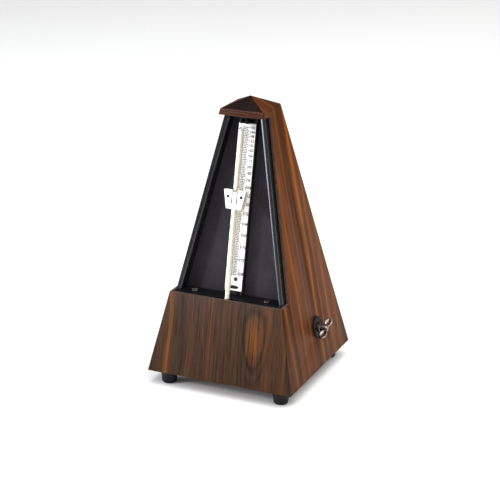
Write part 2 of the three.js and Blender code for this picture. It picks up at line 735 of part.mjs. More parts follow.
function plateShape(extraHoles) {
  const front = RIM_DEPTH - 0.5;
  const shape = outline([
    [PLATE_FRONT, PLATE_LOW],
    [PLATE_BACK, PLATE_LOW],
    [PLATE_BACK - PLATE_CHAMFER, PLATE_TOP - PLATE_CHAMFER],
    [PLATE_BACK - 2 * PLATE_CHAMFER, PLATE_TOP],
    [behindFront(PLATE_TOP, front), PLATE_TOP],
    [behindFront(PLATE_TOP - 20, front), PLATE_TOP - 20],
    [PLATE_FRONT, ESCAPE.height - 24],
  ]);
  const pillars = PILLAR_PLACES.map(([, y, z]) => disc(SPIGOT_RADIUS + GAP, y, z));
  shape.holes.push(...pillars, ...extraHoles);
  return shape;
}

function movementPlate(side, holes) {
  const start = side > 0 ? PLATE_FACE : -PLATE_FACE - PLATE_THICK;
  let plate = standUp(extrude(plateShape(holes), PLATE_THICK, start, 6));
  const screwY = behindFront(LEDGE_TOP, LINER_SCREW_DEPTH);
  const top = new THREE.BoxGeometry(TAB, TAB, PLATE_THICK);
  top.translate(side * (PLATE_FACE + PLATE_THICK - TAB / 2), screwY, PLATE_TOP - PLATE_THICK / 2);
  plate = join(plate, top);
  const tools = [drill(side * LINER_SCREW_X, screwY, BOLT_HOLE, PLATE_TOP - 12, 14)];
  for (const [, tabSide, y] of TAB_PLACES) {
    if (tabSide === side) {
      const tab = new THREE.BoxGeometry(TAB, TAB, PLATE_THICK);
      tab.translate(side * (TAB_SCREW_X - 0.5), y, PLATE_LOW + PLATE_THICK / 2);
      plate = join(plate, tab);
      tools.push(drill(side * TAB_SCREW_X, y, BOLT_HOLE, 0, 12));
    }
  }
  return cut(plate, ...tools);
}

function pillar(from, to) {
  return turned([
    [SPIGOT_RADIUS, from - PLATE_THICK],
    [SPIGOT_RADIUS, from + GAP],
    [PILLAR_RADIUS, from + GAP],
    [PILLAR_RADIUS, to - GAP],
    [SPIGOT_RADIUS, to - GAP],
    [SPIGOT_RADIUS, to + PLATE_THICK],
  ], 12);
}

// A bar on the leaning front that holds one end of the pallet staff
function staffBearer(left, right, depth) {
  const half = BRIDGE_HALF_HEIGHT;
  const shape = rectangle(left, PIVOT - half, right, PIVOT + half);
  shape.holes.push(disc(FIT, 0, PIVOT));
  return slab(shape, depth, depth + BRIDGE_THICK, 6);
}

function trainCock() {
  const clearOfBob = (height) => [behindFront(height, EDGE_DEPTH), height];
  const shape = outline([
    clearOfBob(LOWER_COCK.height - 4.5),
    [SECOND.y + 5, SECOND.height - 7],
    [SECOND.y + 5, SECOND.height + 7],
    [UPPER_COCK.y + 4, UPPER_COCK.height + 3],
    [ESCAPE.y - 4, UPPER_COCK.height + 3],
    [ESCAPE.y - 5, ESCAPE.height + 2],
    clearOfBob(ESCAPE.height - 5),
  ]);
  const pillars = COCK_PILLARS.map(([, y, z]) => disc(SPIGOT_RADIUS + GAP, y, z));
  const arbors = [ESCAPE, SECOND].map(({ y, height }) => disc(PIVOT_HOLE, y, height));
  shape.holes.push(...pillars, ...arbors);
  return standUp(extrude(shape, PLATE_THICK, COCK_FACE, 6));
}

function buildFrame() {
  const arborHole = disc(ARBOR_RADIUS + GAP, KEY_Y, KEY_HEIGHT);
  const train = [ESCAPE, SECOND].map(({ y, height }) => disc(PIVOT_HOLE, y, height));
  const cockHoles = COCK_PILLARS.map(([, y, z]) => disc(SPIGOT_RADIUS + GAP, y, z));
  const leftPlate = movementPlate(-1, [arborHole, ...train, ...cockHoles]);
  piece(upright, 'left_movement_plate', leftPlate, 'brass');
  piece(upright, 'right_movement_plate', movementPlate(1, [arborHole]), 'brass');
  for (const [name, y, z] of PILLAR_PLACES) {
    piece(arborGroup(y, z), `${name}_pillar`, pillar(-PLATE_FACE, PLATE_FACE), 'steel');
  }
  for (const [name, y, z] of COCK_PILLARS) {
    piece(arborGroup(y, z), `cock_${name}_pillar`, pillar(-PLATE_FACE, COCK_FACE), 'steel');
  }
  piece(upright, 'train_cock', trainCock(), 'brass');
  const reach = PLATE_FACE - GAP;
  piece(leaning, 'staff_front_bridge', staffBearer(-reach, reach, BRIDGE_DEPTH), 'brass');
  piece(leaning, 'staff_rear_cock', staffBearer(-4, reach, REAR_COCK_DEPTH), 'brass');
  for (const [name, side, y] of TAB_PLACES) {
    const bolt = screw(MOVEMENT_SCREW_LENGTH).rotateX(Math.PI);
    const fixing = piece(upright, `${name}_movement_screw`, bolt, 'steel');
    fixing.position.set(side * TAB_SCREW_X, y, PLATE_LOW + PLATE_THICK + GAP + SCREW_HEAD);
  }
}

// ---- Train ----------------------------------------------------------------

const towards = (from, to) => Math.atan2(to.height - from.height, to.y - from.y);
const KEY = { y: KEY_Y, height: KEY_HEIGHT };
const GREAT_PHASE = towards(KEY, SECOND);
const SECOND_PINION_PHASE = GREAT_PHASE + Math.PI + Math.PI / PINION_TEETH;
const SECOND_PHASE = towards(SECOND, ESCAPE);
const ESCAPE_PINION_PHASE = SECOND_PHASE + Math.PI + Math.PI / PINION_TEETH;

// Outline of a spur gear: straight-flanked teeth, the first one centred on phase
function gearShape(teeth, phase, bore) {
  const pitch = teeth * GEAR_MODULE / 2;
  const root = pitch - 1.2 * GEAR_MODULE;
  const tip = pitch + 0.85 * GEAR_MODULE;
  const half = (Math.PI * GEAR_MODULE / 4 - BACKLASH / 2) / pitch;
  const points = [];
  for (let tooth = 0; tooth < teeth; tooth += 1) {
    const middle = phase + 2 * Math.PI * tooth / teeth;
    for (const [radius, share] of [[root, -1.5], [tip, -0.45], [tip, 0.45], [root, 1.5]]) {
      const angle = middle + share * half;
      points.push([radius * Math.cos(angle), radius * Math.sin(angle)]);
    }
  }
  const shape = outline(points);
  if (bore > 0) {
    shape.holes.push(disc(bore));
  }
  return shape;
}

function ratchetShape(teeth, radius, depth, bore) {
  const points = [];
  for (let tooth = 0; tooth < teeth; tooth += 1) {
    const start = 2 * Math.PI * tooth / teeth;
    points.push([radius * Math.cos(start), radius * Math.sin(start)]);
    points.push([(radius - depth) * Math.cos(start), (radius - depth) * Math.sin(start)]);
  }
  const shape = outline(points.reverse());
  shape.holes.push(disc(bore));
  return shape;
}

function windows(count, radius, size) {
  return Array.from({ length: count }, (_, index) => {
    const angle = 2 * Math.PI * index / count + 0.4;
    return disc(size, radius * Math.cos(angle), radius * Math.sin(angle));
  });
}

// A flat spiral strip, wound from the arbor outwards
function mainspring() {
  const steps = 24 * SPRING_TURNS;
  const edge = (offset) => Array.from({ length: steps + 1 }, (_, index) => {
    const share = index / steps;
    const radius = SPRING_INNER + (SPRING_OUTER - SPRING_INNER) * share + offset;
    const angle = 2 * Math.PI * SPRING_TURNS * share;
    return [radius * Math.cos(angle), radius * Math.sin(angle)];
  });
  const shape = outline([...edge(0), ...edge(SPRING_STRIP).reverse()]);
  return extrude(shape, SPRING_WIDTH, SPRING_START);
}

// Crown wheel: a cup whose rim is cut into teeth that point along its axis
function escapeWheel() {
  const ends = (from, to) => [[CROWN_RADIUS, from], [CROWN_RADIUS, to]];
  const floor = turned(ends(CROWN_BACK, CROWN_BACK + CROWN_FLOOR), 2 * CROWN_TEETH, PIVOT_HOLE);
  const bore = CROWN_RADIUS - CROWN_WALL;
  const rim = turned(ends(CROWN_BACK + CROWN_FLOOR / 2, CROWN_TIP), 2 * CROWN_TEETH, bore);
  const pitch = 2 * Math.PI / CROWN_TEETH;
  const gaps = Array.from({ length: CROWN_TEETH }, (_, index) => {
    const corner = (radius, share, z) => {
      const angle = pitch * (index + share);
      return new THREE.Vector3(radius * Math.cos(angle), radius * Math.sin(angle), z);
    };
    const points = [CROWN_RADIUS - 2 * CROWN_WALL, CROWN_RADIUS + 2].flatMap((radius) => [
      corner(radius, 0, CROWN_TIP - CROWN_TOOTH),
      corner(radius, 0, CROWN_TIP + 1),
      corner(radius, CROWN_TOOTH_LEAN, CROWN_TIP + 1),
    ]);
    return new ConvexGeometry(points);
  });
  return cut(join(floor, rim), ...gaps);
}

function arborWithPinion(phase, pinionStart, pinionEnd, end) {
  const shaft = turned([
    [PIVOT_RADIUS, -PLATE_FACE - PLATE_THICK],
    [PIVOT_RADIUS, end],
  ], 12);
  const pinion = gearShape(PINION_TEETH, phase, 0);
  return join(shaft, extrude(pinion, pinionEnd - pinionStart, pinionStart));
}

// The click's tip drops behind a ratchet tooth; its body runs round to its stud
const CLICK = { y: RATCHET_RADIUS + 2.2, z: RATCHET_RADIUS + 0.2 };

function clickShape() {
  const notch = RATCHET_RADIUS - RATCHET_TOOTH + GAP;
  const shape = outline([
    [notch + 0.1, GAP],
    [notch + 1.2, GAP],
    [CLICK.y + 0.6, CLICK.z - 3.4],
    [CLICK.y + CLICK_BOSS, CLICK.z],
    [CLICK.y + 0.7 * CLICK_BOSS, CLICK.z + 0.7 * CLICK_BOSS],
    [CLICK.y, CLICK.z + CLICK_BOSS],
    [CLICK.y - 0.7 * CLICK_BOSS, CLICK.z + 0.7 * CLICK_BOSS],
    [CLICK.y - CLICK_BOSS, CLICK.z],
    [RATCHET_RADIUS + 2 * GAP, 2.2],
    [notch + 0.7, 1.2],
  ]);
  shape.holes.push(disc(CLICK_STUD + GAP, CLICK.y, CLICK.z));
  return shape;
}

function buildTrain() {
  const keyAxis = arborGroup(KEY_Y, KEY_HEIGHT);
  const great = gearShape(GREAT_TEETH, GREAT_PHASE, ARBOR_RADIUS + GAP);
  great.holes.push(disc(CLICK_STUD + GAP, CLICK.y, CLICK.z));
  great.holes.push(...windows(5, GREAT_PITCH * 0.74, GREAT_PITCH * 0.15));
  piece(keyAxis, 'great_wheel', extrude(great, GREAT_THICK, GREAT_FACE), 'brass');
  const ratchet = ratchetShape(RATCHET_TEETH, RATCHET_RADIUS, RATCHET_TOOTH, ARBOR_RADIUS + GAP);
  const ratchetStart = GREAT_FACE + GREAT_THICK + GAP;
  piece(keyAxis, 'ratchet_wheel', extrude(ratchet, RATCHET_THICK, ratchetStart), 'steel');
  piece(keyAxis, 'click', extrude(clickShape(), RATCHET_THICK, ratchetStart, 5), 'steel');
  const studEnd = ratchetStart + RATCHET_THICK + GAP;
  const stud = turned([
    [CLICK_STUD, GREAT_FACE],
    [CLICK_STUD, studEnd],
    [CLICK_BOSS - GAP, studEnd],
    [CLICK_BOSS - GAP, studEnd + 0.8],
  ], 12);
  piece(keyAxis, 'click_stud', stud.translate(CLICK.y, CLICK.z, 0), 'steel');
  piece(keyAxis, 'mainspring', mainspring(), 'springSteel');

  const secondAxis = arborGroup(SECOND.y, SECOND.height);
  const secondEnd = COCK_FACE + PLATE_THICK;
  const greatFrom = GREAT_FACE - PINION_MARGIN;
  const greatTo = GREAT_FACE + GREAT_THICK + PINION_MARGIN;
  const secondArbor = arborWithPinion(SECOND_PINION_PHASE, greatFrom, greatTo, secondEnd);
  piece(secondAxis, 'second_arbor', secondArbor, 'steel');
  const second = gearShape(SECOND_TEETH, SECOND_PHASE, PIVOT_HOLE);
  second.holes.push(...windows(4, SECOND_PITCH * 0.62, SECOND_PITCH * 0.2));
  piece(secondAxis, 'second_wheel', extrude(second, SECOND_THICK, SECOND_FACE), 'brass');

  const escapeAxis = arborGroup(ESCAPE.y, ESCAPE.height);
  const secondFrom = SECOND_FACE - PINION_MARGIN;
  const secondTo = SECOND_FACE + SECOND_THICK + PINION_MARGIN;
  const wheelEnd = CROWN_BACK + 2;
  const escapeArbor = arborWithPinion(ESCAPE_PINION_PHASE, secondFrom, secondTo, wheelEnd);
  piece(escapeAxis, 'escape_arbor', escapeArbor, 'steel');
  piece(escapeAxis, 'escape_wheel', escapeWheel(), 'brass');
}

// ---- Winding --------------------------------------------------------------

// Butterfly wings, drawn along the arbor and across it, then stood on the barrel
function keyWings() {
  const start = KEY_PANEL_X + KEY_REACH - KEY_WING_WIDTH / 2;
  const across = KEY_WING_WIDTH / 2;
  const along = KEY_WING_LENGTH / 2;
  return [-1, 1].map((side) => {
    const centre = side * (along + KEY_WING_FROM_AXIS);
    const lobe = new THREE.Shape();
    lobe.absellipse(start, centre, across, along, 0, 2 * Math.PI);
    const eye = new THREE.Path();
    eye.absellipse(start + 0.3, centre + side * 0.6, across * 0.4, along * 0.44, 0, 2 * Math.PI);
    lobe.holes.push(eye);
    return extrude(lobe, KEY_WING_THICK, -KEY_WING_THICK / 2, 10);
  });
}

function windingKey() {
  const start = KEY_PANEL_X + 2 * GAP;
  const end = KEY_PANEL_X + KEY_REACH - KEY_END;
  const barrel = turned([
    [KEY_BARREL_RADIUS, start],
    [KEY_BARREL_RADIUS, end - KEY_EDGE],
    [KEY_BARREL_RADIUS - KEY_EDGE, end],
  ], 16);
  const turn = KEY_TURN_DEG * Math.PI / 180;
  const wings = keyWings().map((wing) => wing.applyMatrix4(TO_SIDE).rotateZ(turn));
  const socket = drill(0, 0, ARBOR_RADIUS + GAP, KEY_PANEL_X, KEY_SOCKET + 2 * GAP);
  return cut(join(barrel, ...wings), socket);
}

function buildWinding() {
  const keyAxis = arborGroup(KEY_Y, KEY_HEIGHT);
  const arbor = turned([
    [ARBOR_RADIUS, -PLATE_FACE - PLATE_THICK],
    [ARBOR_RADIUS, KEY_PANEL_X + KEY_SOCKET],
  ], 16);
  piece(keyAxis, 'winding_arbor', arbor, 'steel');
  piece(keyAxis, 'winding_key', windingKey(), 'nickel');
  const ring = turned([
    [ESCUTCHEON_RADIUS, 0],
    [ESCUTCHEON_RADIUS, ESCUTCHEON_THICK - ESCUTCHEON_EDGE],
    [ESCUTCHEON_RADIUS - ESCUTCHEON_EDGE, ESCUTCHEON_THICK],
  ], 24, KEY_BARREL_RADIUS + 3 * GAP);
  ring.translate(0, 0, GAP).rotateY(Math.PI / 2 - SIDE_LEAN);
  piece(upright, 'key_escutcheon', ring, 'blackPlastic').position.set(KEY_PANEL_X, KEY_Y, KEY_HEIGHT);
}

buildCase();
buildDial();
buildPendulum();
buildFrame();
buildTrain();
buildWinding();

export default metronome;
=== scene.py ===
import json
import math

import bmesh
import bpy
import numpy as np
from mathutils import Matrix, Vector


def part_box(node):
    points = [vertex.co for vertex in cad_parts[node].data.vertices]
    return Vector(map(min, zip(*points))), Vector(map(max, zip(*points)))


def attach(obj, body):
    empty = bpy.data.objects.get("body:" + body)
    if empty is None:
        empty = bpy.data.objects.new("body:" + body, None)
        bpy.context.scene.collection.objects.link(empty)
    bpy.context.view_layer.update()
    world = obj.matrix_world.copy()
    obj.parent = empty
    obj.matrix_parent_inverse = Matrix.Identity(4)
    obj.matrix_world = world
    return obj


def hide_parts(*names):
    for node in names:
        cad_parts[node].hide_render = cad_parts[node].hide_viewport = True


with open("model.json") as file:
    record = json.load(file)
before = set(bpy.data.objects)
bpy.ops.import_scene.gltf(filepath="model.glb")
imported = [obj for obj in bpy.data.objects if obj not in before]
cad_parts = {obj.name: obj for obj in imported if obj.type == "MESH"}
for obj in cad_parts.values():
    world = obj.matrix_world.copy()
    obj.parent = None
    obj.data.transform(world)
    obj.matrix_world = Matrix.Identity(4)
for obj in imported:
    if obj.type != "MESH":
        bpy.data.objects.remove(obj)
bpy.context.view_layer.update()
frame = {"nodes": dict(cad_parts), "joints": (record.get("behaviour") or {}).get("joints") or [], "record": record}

mm = 0.001

# ---- Base plate ------------------------------------------------------------
# A square of bare hardboard let into the foot of the case. It carries the feet
# from below and the movement from above; it is sawn, drilled and left unpainted.


def linear(code):
    """Linear RGBA of an sRGB hex colour."""
    part = np.array([int(code[at:at + 2], 16) for at in (1, 3, 5)]) / 255
    curve = np.where(part <= 0.04045, part / 12.92, ((part + 0.055) / 1.055) ** 2.4)
    return (*curve, 1.0)


def add(tree, kind, inputs=(), stops=(), **settings):
    """Adds a node: settings are its own choices, inputs the values or sockets it takes, stops a ramp."""
    made = tree.nodes.new("ShaderNode" + kind)
    for key, value in settings.items():
        setattr(made, key, value)
    for key, value in dict(inputs).items():
        if isinstance(value, bpy.types.NodeSocket):
            tree.links.new(value, made.inputs[key])
        else:
            made.inputs[key].default_value = value
    for index, (place, code) in enumerate(stops):
        ramp = made.color_ramp.elements
        stop = ramp[index] if index < 2 else ramp.new(place)
        stop.position = place
        stop.color = linear(code)
    return made


def finish(name, **sockets):
    """A new material with its shader's own sockets set; returns it, its tree and its shader."""
    material = bpy.data.materials.new(name)
    material.use_nodes = True
    shader = material.node_tree.nodes["Principled BSDF"]
    for key, value in sockets.items():
        shader.inputs[key.replace("_", " ").title().replace("Ior", "IOR")].default_value = value
    return material, material.node_tree, shader


def relief(tree, shader, height, depth):
    """Links a pattern to the shader as a bump of that depth in metres."""
    bump = add(tree, "Bump", {"Height": height, "Strength": 1.0, "Distance": depth})
    tree.links.new(bump.outputs["Normal"], shader.inputs["Normal"])


def stretched(tree, scale, turn=(0, 0, 0), place=(0, 0, 0)):
    """Object coordinates in metres, moved, turned and multiplied by a number for each axis."""
    where = add(tree, "TexCoord").outputs["Object"]
    inputs = {"Vector": where, "Location": place, "Rotation": turn, "Scale": scale}
    return add(tree, "Mapping", inputs).outputs["Vector"]


body_of = {node: body for body, held in frame["record"]["behaviour"]["bodies"].items() for node in held}


def stands_for(piece, node, *materials):
    """Gives a piece its materials and puts it in a node's place: on its body, in its slot."""
    for material in materials:
        piece.data.materials.append(material)
    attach(piece, body_of[node])
    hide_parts(node)
    return piece


def soften(piece, edge, segments=2):
    """Rounds the sharp edges of a piece by a radius and shades it smooth between flat faces."""
    piece.data.shade_smooth()
    bevel = piece.modifiers.new("soft_edges", "BEVEL")
    bevel.width = edge
    bevel.segments = segments
    bevel.limit_method = "ANGLE"
    bevel.angle_limit = math.radians(30)
    bevel.harden_normals = True
    return piece


def show(name, form):
    """Makes a shown object of a bmesh, with its points merged and its faces turned outwards."""
    bmesh.ops.remove_doubles(form, verts=form.verts, dist=0.001 * mm)
    bmesh.ops.recalc_face_normals(form, faces=form.faces)
    mesh = bpy.data.meshes.new(name)
    form.to_mesh(mesh)
    form.free()
    piece = bpy.data.objects.new(name, mesh)
    bpy.context.scene.collection.objects.link(piece)
    return piece


def flattened(node):
    """A copy of a node's own form, with its triangles merged into flat faces."""
    form = bmesh.new()
    form.from_mesh(frame["nodes"][node].data)
    bmesh.ops.remove_doubles(form, verts=form.verts, dist=0.002 * mm)
    flat = math.radians(0.3)
    bmesh.ops.dissolve_limit(form, angle_limit=flat, verts=form.verts, edges=form.edges)
    return form


def dressed(node, edge, segments=2):
    """A node's own form in flat faces, with its edges softened."""
    return soften(show(node + "_finished", flattened(node)), edge, segments)


HARDBOARD = "#6b5138"
HARDBOARD_DARK = "#4c3826"
FIBRE = 0.8 * mm

# Pressed wood fibre, never varnished: dull, felted and dark, with no shine at any angle.
hardboard, tree, shader = finish("bare_hardboard", roughness=0.85)
felted = add(tree, "TexNoise", {"Vector": stretched(tree, (1 / FIBRE,) * 3), "Scale": 1.0, "Detail": 6.0})
tone = add(tree, "ValToRGB", {"Fac": felted.outputs["Fac"]}, [(0.3, HARDBOARD_DARK), (0.7, HARDBOARD)])
tree.links.new(tone.outputs["Color"], shader.inputs["Base Color"])
relief(tree, shader, felted.outputs["Fac"], 0.1 * mm)
stands_for(dressed("base_plate", 0.3 * mm), "base_plate", hardboard)

# ---- Feet ------------------------------------------------------------------
# Four turned feet of black moulded rubber, a little wider at the top, each with
# a sunk screw. The tips are rounded where they meet the table.


def surface(points, faces):
    """A bmesh of points and of faces that give each corner's place among the points."""
    loose = bpy.data.meshes.new("loose")
    loose.from_pydata(points.tolist(), [], faces)
    form = bmesh.new()
    form.from_mesh(loose)
    bpy.data.meshes.remove(loose)
    return form


def grid(points, around=True, along=False, capped=False):
    """A surface given as rows of points: each four neighbours are a face. It closes around each row, and
    along the rows, or is capped by a face over its first row and one over its last."""
    rows, columns = points.shape[:2]
    row_ends = np.arange(rows if along else rows - 1)
    column_ends = np.arange(columns if around else columns - 1)
    row, column = (side.ravel() for side in np.meshgrid(row_ends, column_ends, indexing="ij"))
    below, beside = (row + 1) % rows, (column + 1) % columns
    this_row, next_row = row * columns, below * columns
    corners = (this_row + column, this_row + beside, next_row + beside, next_row + column)
    faces = np.stack(corners, 1).tolist()
    if capped:
        first = np.arange(columns)
        faces += [first.tolist(), (first + (rows - 1) * columns).tolist()]
    return surface(points.reshape(-1, 3), faces)


def lathe(steps, frame_axes, middle, around=64, bored=False):
    """Turned form: each step's radius swept round the third axis, at its height along it."""
    radius, height = np.array(steps, float).T
    angle = np.linspace(0, 2 * math.pi, around, endpoint=False)
    across = radius[:, None, None] * np.stack([np.cos(angle), np.sin(angle)], 1)
    up = np.broadcast_to(height[:, None, None], (len(radius), around, 1))
    return grid(np.concatenate([across, up], 2) @ np.array(frame_axes) + middle, along=bored)


def curve(centre, size, start, end, points=7):
    """Points of an arc in a profile, from one angle in degrees to another."""
    angle = np.radians(np.linspace(start, end, points))
    return (size * np.column_stack([np.cos(angle), np.sin(angle)]) + centre).tolist()


X_AXIS, Y_AXIS, Z_AXIS = np.eye(3)
UPRIGHT = (X_AXIS, Y_AXIS, Z_AXIS)


def reach(node, direction):
    """How far a node's points lie along a direction, lowest and highest, in metres."""
    corners = np.array([corner.co for corner in frame["nodes"][node].data.vertices])
    along = corners @ np.array(direction)
    return along.min(), along.max()


def centre_of(node):
    """The middle of a node's box."""
    return (np.array(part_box(node)[0]) + np.array(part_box(node)[1])) / 2


RUBBER = "#070708"
RUBBER_WORN = "#111113"
FOOT_TOP = 6.8 * mm
FOOT_TIP = 5.6 * mm
FOOT_ROUND = 1.4 * mm
FOOT_BORE = 1.6 * mm
FOOT_RECESS = 2.7 * mm
RECESS_DEEP = 2.4 * mm
RECESS_EDGE = 0.3 * mm
FOOT_TOP_ROUND = 0.6 * mm
FOOT_LEAN = 8
MOTTLES_PER_M = 900

# Moulded rubber: nearly black, with a low broad sheen that breaks up in a fine mottle.
rubber, tree, shader = finish("moulded_rubber", roughness=0.42, ior=1.52, specular_ior_level=0.3)
mottle = add(tree, "TexNoise", {"Vector": stretched(tree, (MOTTLES_PER_M,) * 3), "Scale": 1.0, "Detail": 4.0})
tone = add(tree, "ValToRGB", {"Fac": mottle.outputs["Fac"]}, [(0.35, RUBBER), (0.75, RUBBER_WORN)])
tree.links.new(tone.outputs["Color"], shader.inputs["Base Color"])
relief(tree, shader, mottle.outputs["Fac"], 0.04 * mm)
CORNERS = ("front_left", "front_right", "rear_right", "rear_left")
for corner in CORNERS:
    node = corner + "_foot"
    low, high = reach(node, Z_AXIS)
    steps = [(FOOT_BORE, high), (FOOT_BORE, low + RECESS_DEEP), (FOOT_RECESS, low + RECESS_DEEP)]
    steps += [(FOOT_RECESS, low + RECESS_EDGE), (FOOT_RECESS + RECESS_EDGE, low)]
    steps += curve((FOOT_TIP - FOOT_ROUND, low + FOOT_ROUND), FOOT_ROUND, -90, FOOT_LEAN)
    top_centre = (FOOT_TOP - FOOT_TOP_ROUND, high - FOOT_TOP_ROUND)
    steps += curve(top_centre, FOOT_TOP_ROUND, FOOT_LEAN, 90)
    middle = centre_of(node) * (1, 1, 0)
    foot = show(node + "_turned", lathe(steps, UPRIGHT, middle, 72, bored=True))
    foot.data.shade_smooth()
    stands_for(foot, node, rubber)

# ---- Screws ----------------------------------------------------------------
# Cheese-head screws of bright steel with a sawn slot: one up through each foot,
# four down through the tabs of the movement, two nickelled ones in the ledge.


def prism(outline, low, high, frame_axes, middle):
    """A solid between two copies of a flat outline, at two heights along the third axis: both copies are
    faces, and each side joins a corner and the next one at the two heights."""
    count = len(outline)
    height = np.repeat([low, high], count)
    points = np.column_stack([np.tile(outline, (2, 1)), height]) @ np.array(frame_axes) + middle
    here = np.arange(count)
    after = np.roll(here, -1)
    sides = np.stack([here, after, after + count, here + count], 1)
    return surface(points, [here.tolist(), (here + count).tolist(), *sides.tolist()])


def merged(*forms):
    """One bmesh that holds several closed forms."""
    whole = bmesh.new()
    for form in forms:
        loose = bpy.data.meshes.new("loose")
        form.to_mesh(loose)
        form.free()
        whole.from_mesh(loose)
        bpy.data.meshes.remove(loose)
    return whole


SCREW_SHANK = 1.3 * mm
SCREW_HEAD = 2.4 * mm
HEAD_THICK = 1.3 * mm
SLOT_HALF = 0.3 * mm
SLOT_DEEP = 0.6 * mm
TIP_LONG = 0.8 * mm
TIP_SHARE = 0.6
SLOT_OVERLAP = 0.02 * mm


def screw(node, material, head_at_top, turn):
    """Shank and the lower head are turned; two half-discs above it leave the sawn slot."""
    low, high = reach(node, Z_AXIS)
    way = 1 if head_at_top else -1
    face = high if head_at_top else low
    tip = low if head_at_top else high
    middle = centre_of(node) * (1, 1, 0)
    shoulder = face - way * HEAD_THICK
    seat = face - way * SLOT_DEEP
    core = [(0, tip), (SCREW_SHANK * TIP_SHARE, tip), (SCREW_SHANK, tip + way * TIP_LONG)]
    core += [(SCREW_SHANK, shoulder), (SCREW_HEAD, shoulder), (SCREW_HEAD, seat), (0, seat)]
    forms = [lathe(core, UPRIGHT, middle, 40)]
    open_angle = math.asin(SLOT_HALF / SCREW_HEAD)
    for side in (0, math.pi):
        angle = np.linspace(open_angle, math.pi - open_angle, 16) + side + turn
        half = SCREW_HEAD * np.column_stack([np.cos(angle), np.sin(angle)])
        ends = sorted((seat - way * SLOT_OVERLAP, face))
        forms.append(prism(half, *ends, UPRIGHT, middle))
    return stands_for(soften(show(node + "_turned", merged(*forms)), 0.12 * mm), node, material)


def metal(name, light, dark, roughness, brushed, scratch=0.02):
    """Metal with a faint uneven tone; brushed gives the number of lines per metre along each axis."""
    material, tree, shader = finish(name, metallic=1.0, roughness=roughness)
    lines = add(tree, "TexNoise", {"Vector": stretched(tree, brushed), "Scale": 1.0, "Detail": 5.0})
    tone = add(tree, "ValToRGB", {"Fac": lines.outputs["Fac"]}, [(0.3, dark), (0.7, light)])
    tree.links.new(tone.outputs["Color"], shader.inputs["Base Color"])
    span = {"Value": lines.outputs["Fac"], "To Min": roughness - 0.06, "To Max": roughness + 0.1}
    rough = add(tree, "MapRange", span).outputs["Result"]
    tree.links.new(rough, shader.inputs["Roughness"])
    relief(tree, shader, lines.outputs["Fac"], scratch * mm)
    return material


# Turned steel: a clear grey shine, broken by fine tool marks. It is the bright metal of the movement.
steel = metal("turned_steel", "#b9bbbe", "#84868a", 0.32, (1500, 1500, 1500))
# Nickel plate: warmer and smoother than the steel, a little dulled where it was handled.
nickel = metal("nickel_plate", "#aaa7a2", "#7d7a76", 0.3, (500, 500, 500), 0.008)
for index, corner in enumerate(CORNERS):
    screw(corner + "_foot_screw", steel, False, 0.4 + index)
    screw(corner + "_movement_screw", steel, True, 1.1 * index)
screw("left_surround_screw", nickel, True, 0.5)
screw("right_surround_screw", nickel, True, 2.2)

# ---- Movement frame --------------------------------------------------------
# Two stamped brass plates stand either side of the pendulum, held apart by three
# turned steel pillars; a brass cock on two more carries the inner end of the train.

# Rolled and stamped brass: yellow and soft-shining, with faint lines along the rolling.
brass = metal("stamped_brass", "#dcb56a", "#b48a42", 0.3, (300, 1600, 300))
for node in ("left_movement_plate", "right_movement_plate", "train_cock"):
    stands_for(dressed(node, 0.15 * mm), node, brass)
for node in ("staff_front_bridge", "staff_rear_cock"):
    stands_for(dressed(node, 0.2 * mm), node, brass)

ACROSS = (Y_AXIS, Z_AXIS, X_AXIS)
PILLAR = 2.1 * mm
SPIGOT = 1.2 * mm
SPIGOT_LONG = 1.8 * mm
GROOVE = 0.5 * mm
GROOVE_FROM = 4 * mm
GROOVE_SLOPE = 0.5 * mm
GROOVE_LONG = 2 * mm
FRAME_PILLARS = ("top_rear_pillar", "bottom_rear_pillar", "bottom_front_pillar")
PILLARS = (*FRAME_PILLARS, "cock_lower_pillar", "cock_upper_pillar")
for node in PILLARS:
    low, high = reach(node, X_AXIS)
    waist = PILLAR - GROOVE
    steps = [(0, low), (SPIGOT, low), (SPIGOT, low + SPIGOT_LONG), (PILLAR, low + SPIGOT_LONG)]
    groove, past = low + GROOVE_FROM, low + GROOVE_FROM + GROOVE_LONG
    steps += [(PILLAR, groove), (waist, groove + GROOVE_SLOPE)]
    steps += [(waist, past - GROOVE_SLOPE), (PILLAR, past)]
    steps += [(radius, low + high - place) for radius, place in reversed(steps)]
    middle = centre_of(node) * (0, 1, 1)
    stands_for(soften(show(node + "_turned", lathe(steps, ACROSS, middle, 40)), 0.15 * mm), node, steel)

# ---- Wheels, arbors and ratchet --------------------------------------------
# The brass great wheel drives a second wheel and a crown-shaped escape wheel
# through steel pinions. The ratchet and its click let the key wind the spring.

for node in ("great_wheel", "second_wheel", "escape_wheel"):
    stands_for(dressed(node, 0.06 * mm, 1), node, brass)
for node in ("second_arbor", "escape_arbor", "ratchet_wheel", "click", "click_stud"):
    stands_for(dressed(node, 0.05 * mm, 1), node, steel)

# ---- Mainspring ------------------------------------------------------------
# A long strip of blued spring steel coiled round the winding arbor, as wide as
# the drum space between the wheel and the plate.

SPRING_TURNS = 6
SPRING_INNER = 4 * mm
SPRING_OUTER = 16.5 * mm
SPRING_STRIP = 0.5 * mm


def coil(turns, inner, outer, strip, low, high, middle):
    """Flat coil: the radius grows evenly with the turn, and a thin strip's four corners follow it."""
    turn = np.linspace(0, 2 * math.pi * turns, 72 * turns + 1)
    radius = inner + (outer - inner) * turn / turn[-1]
    sides = [(0, low), (strip, low), (strip, high), (0, high)]
    rows = [
        np.stack([(radius + out) * np.cos(turn), (radius + out) * np.sin(turn), np.full(len(turn), place)], 1)
        for out, place in sides
    ]
    return grid(np.stack(rows, 1) @ np.array(ACROSS) + middle, capped=True)


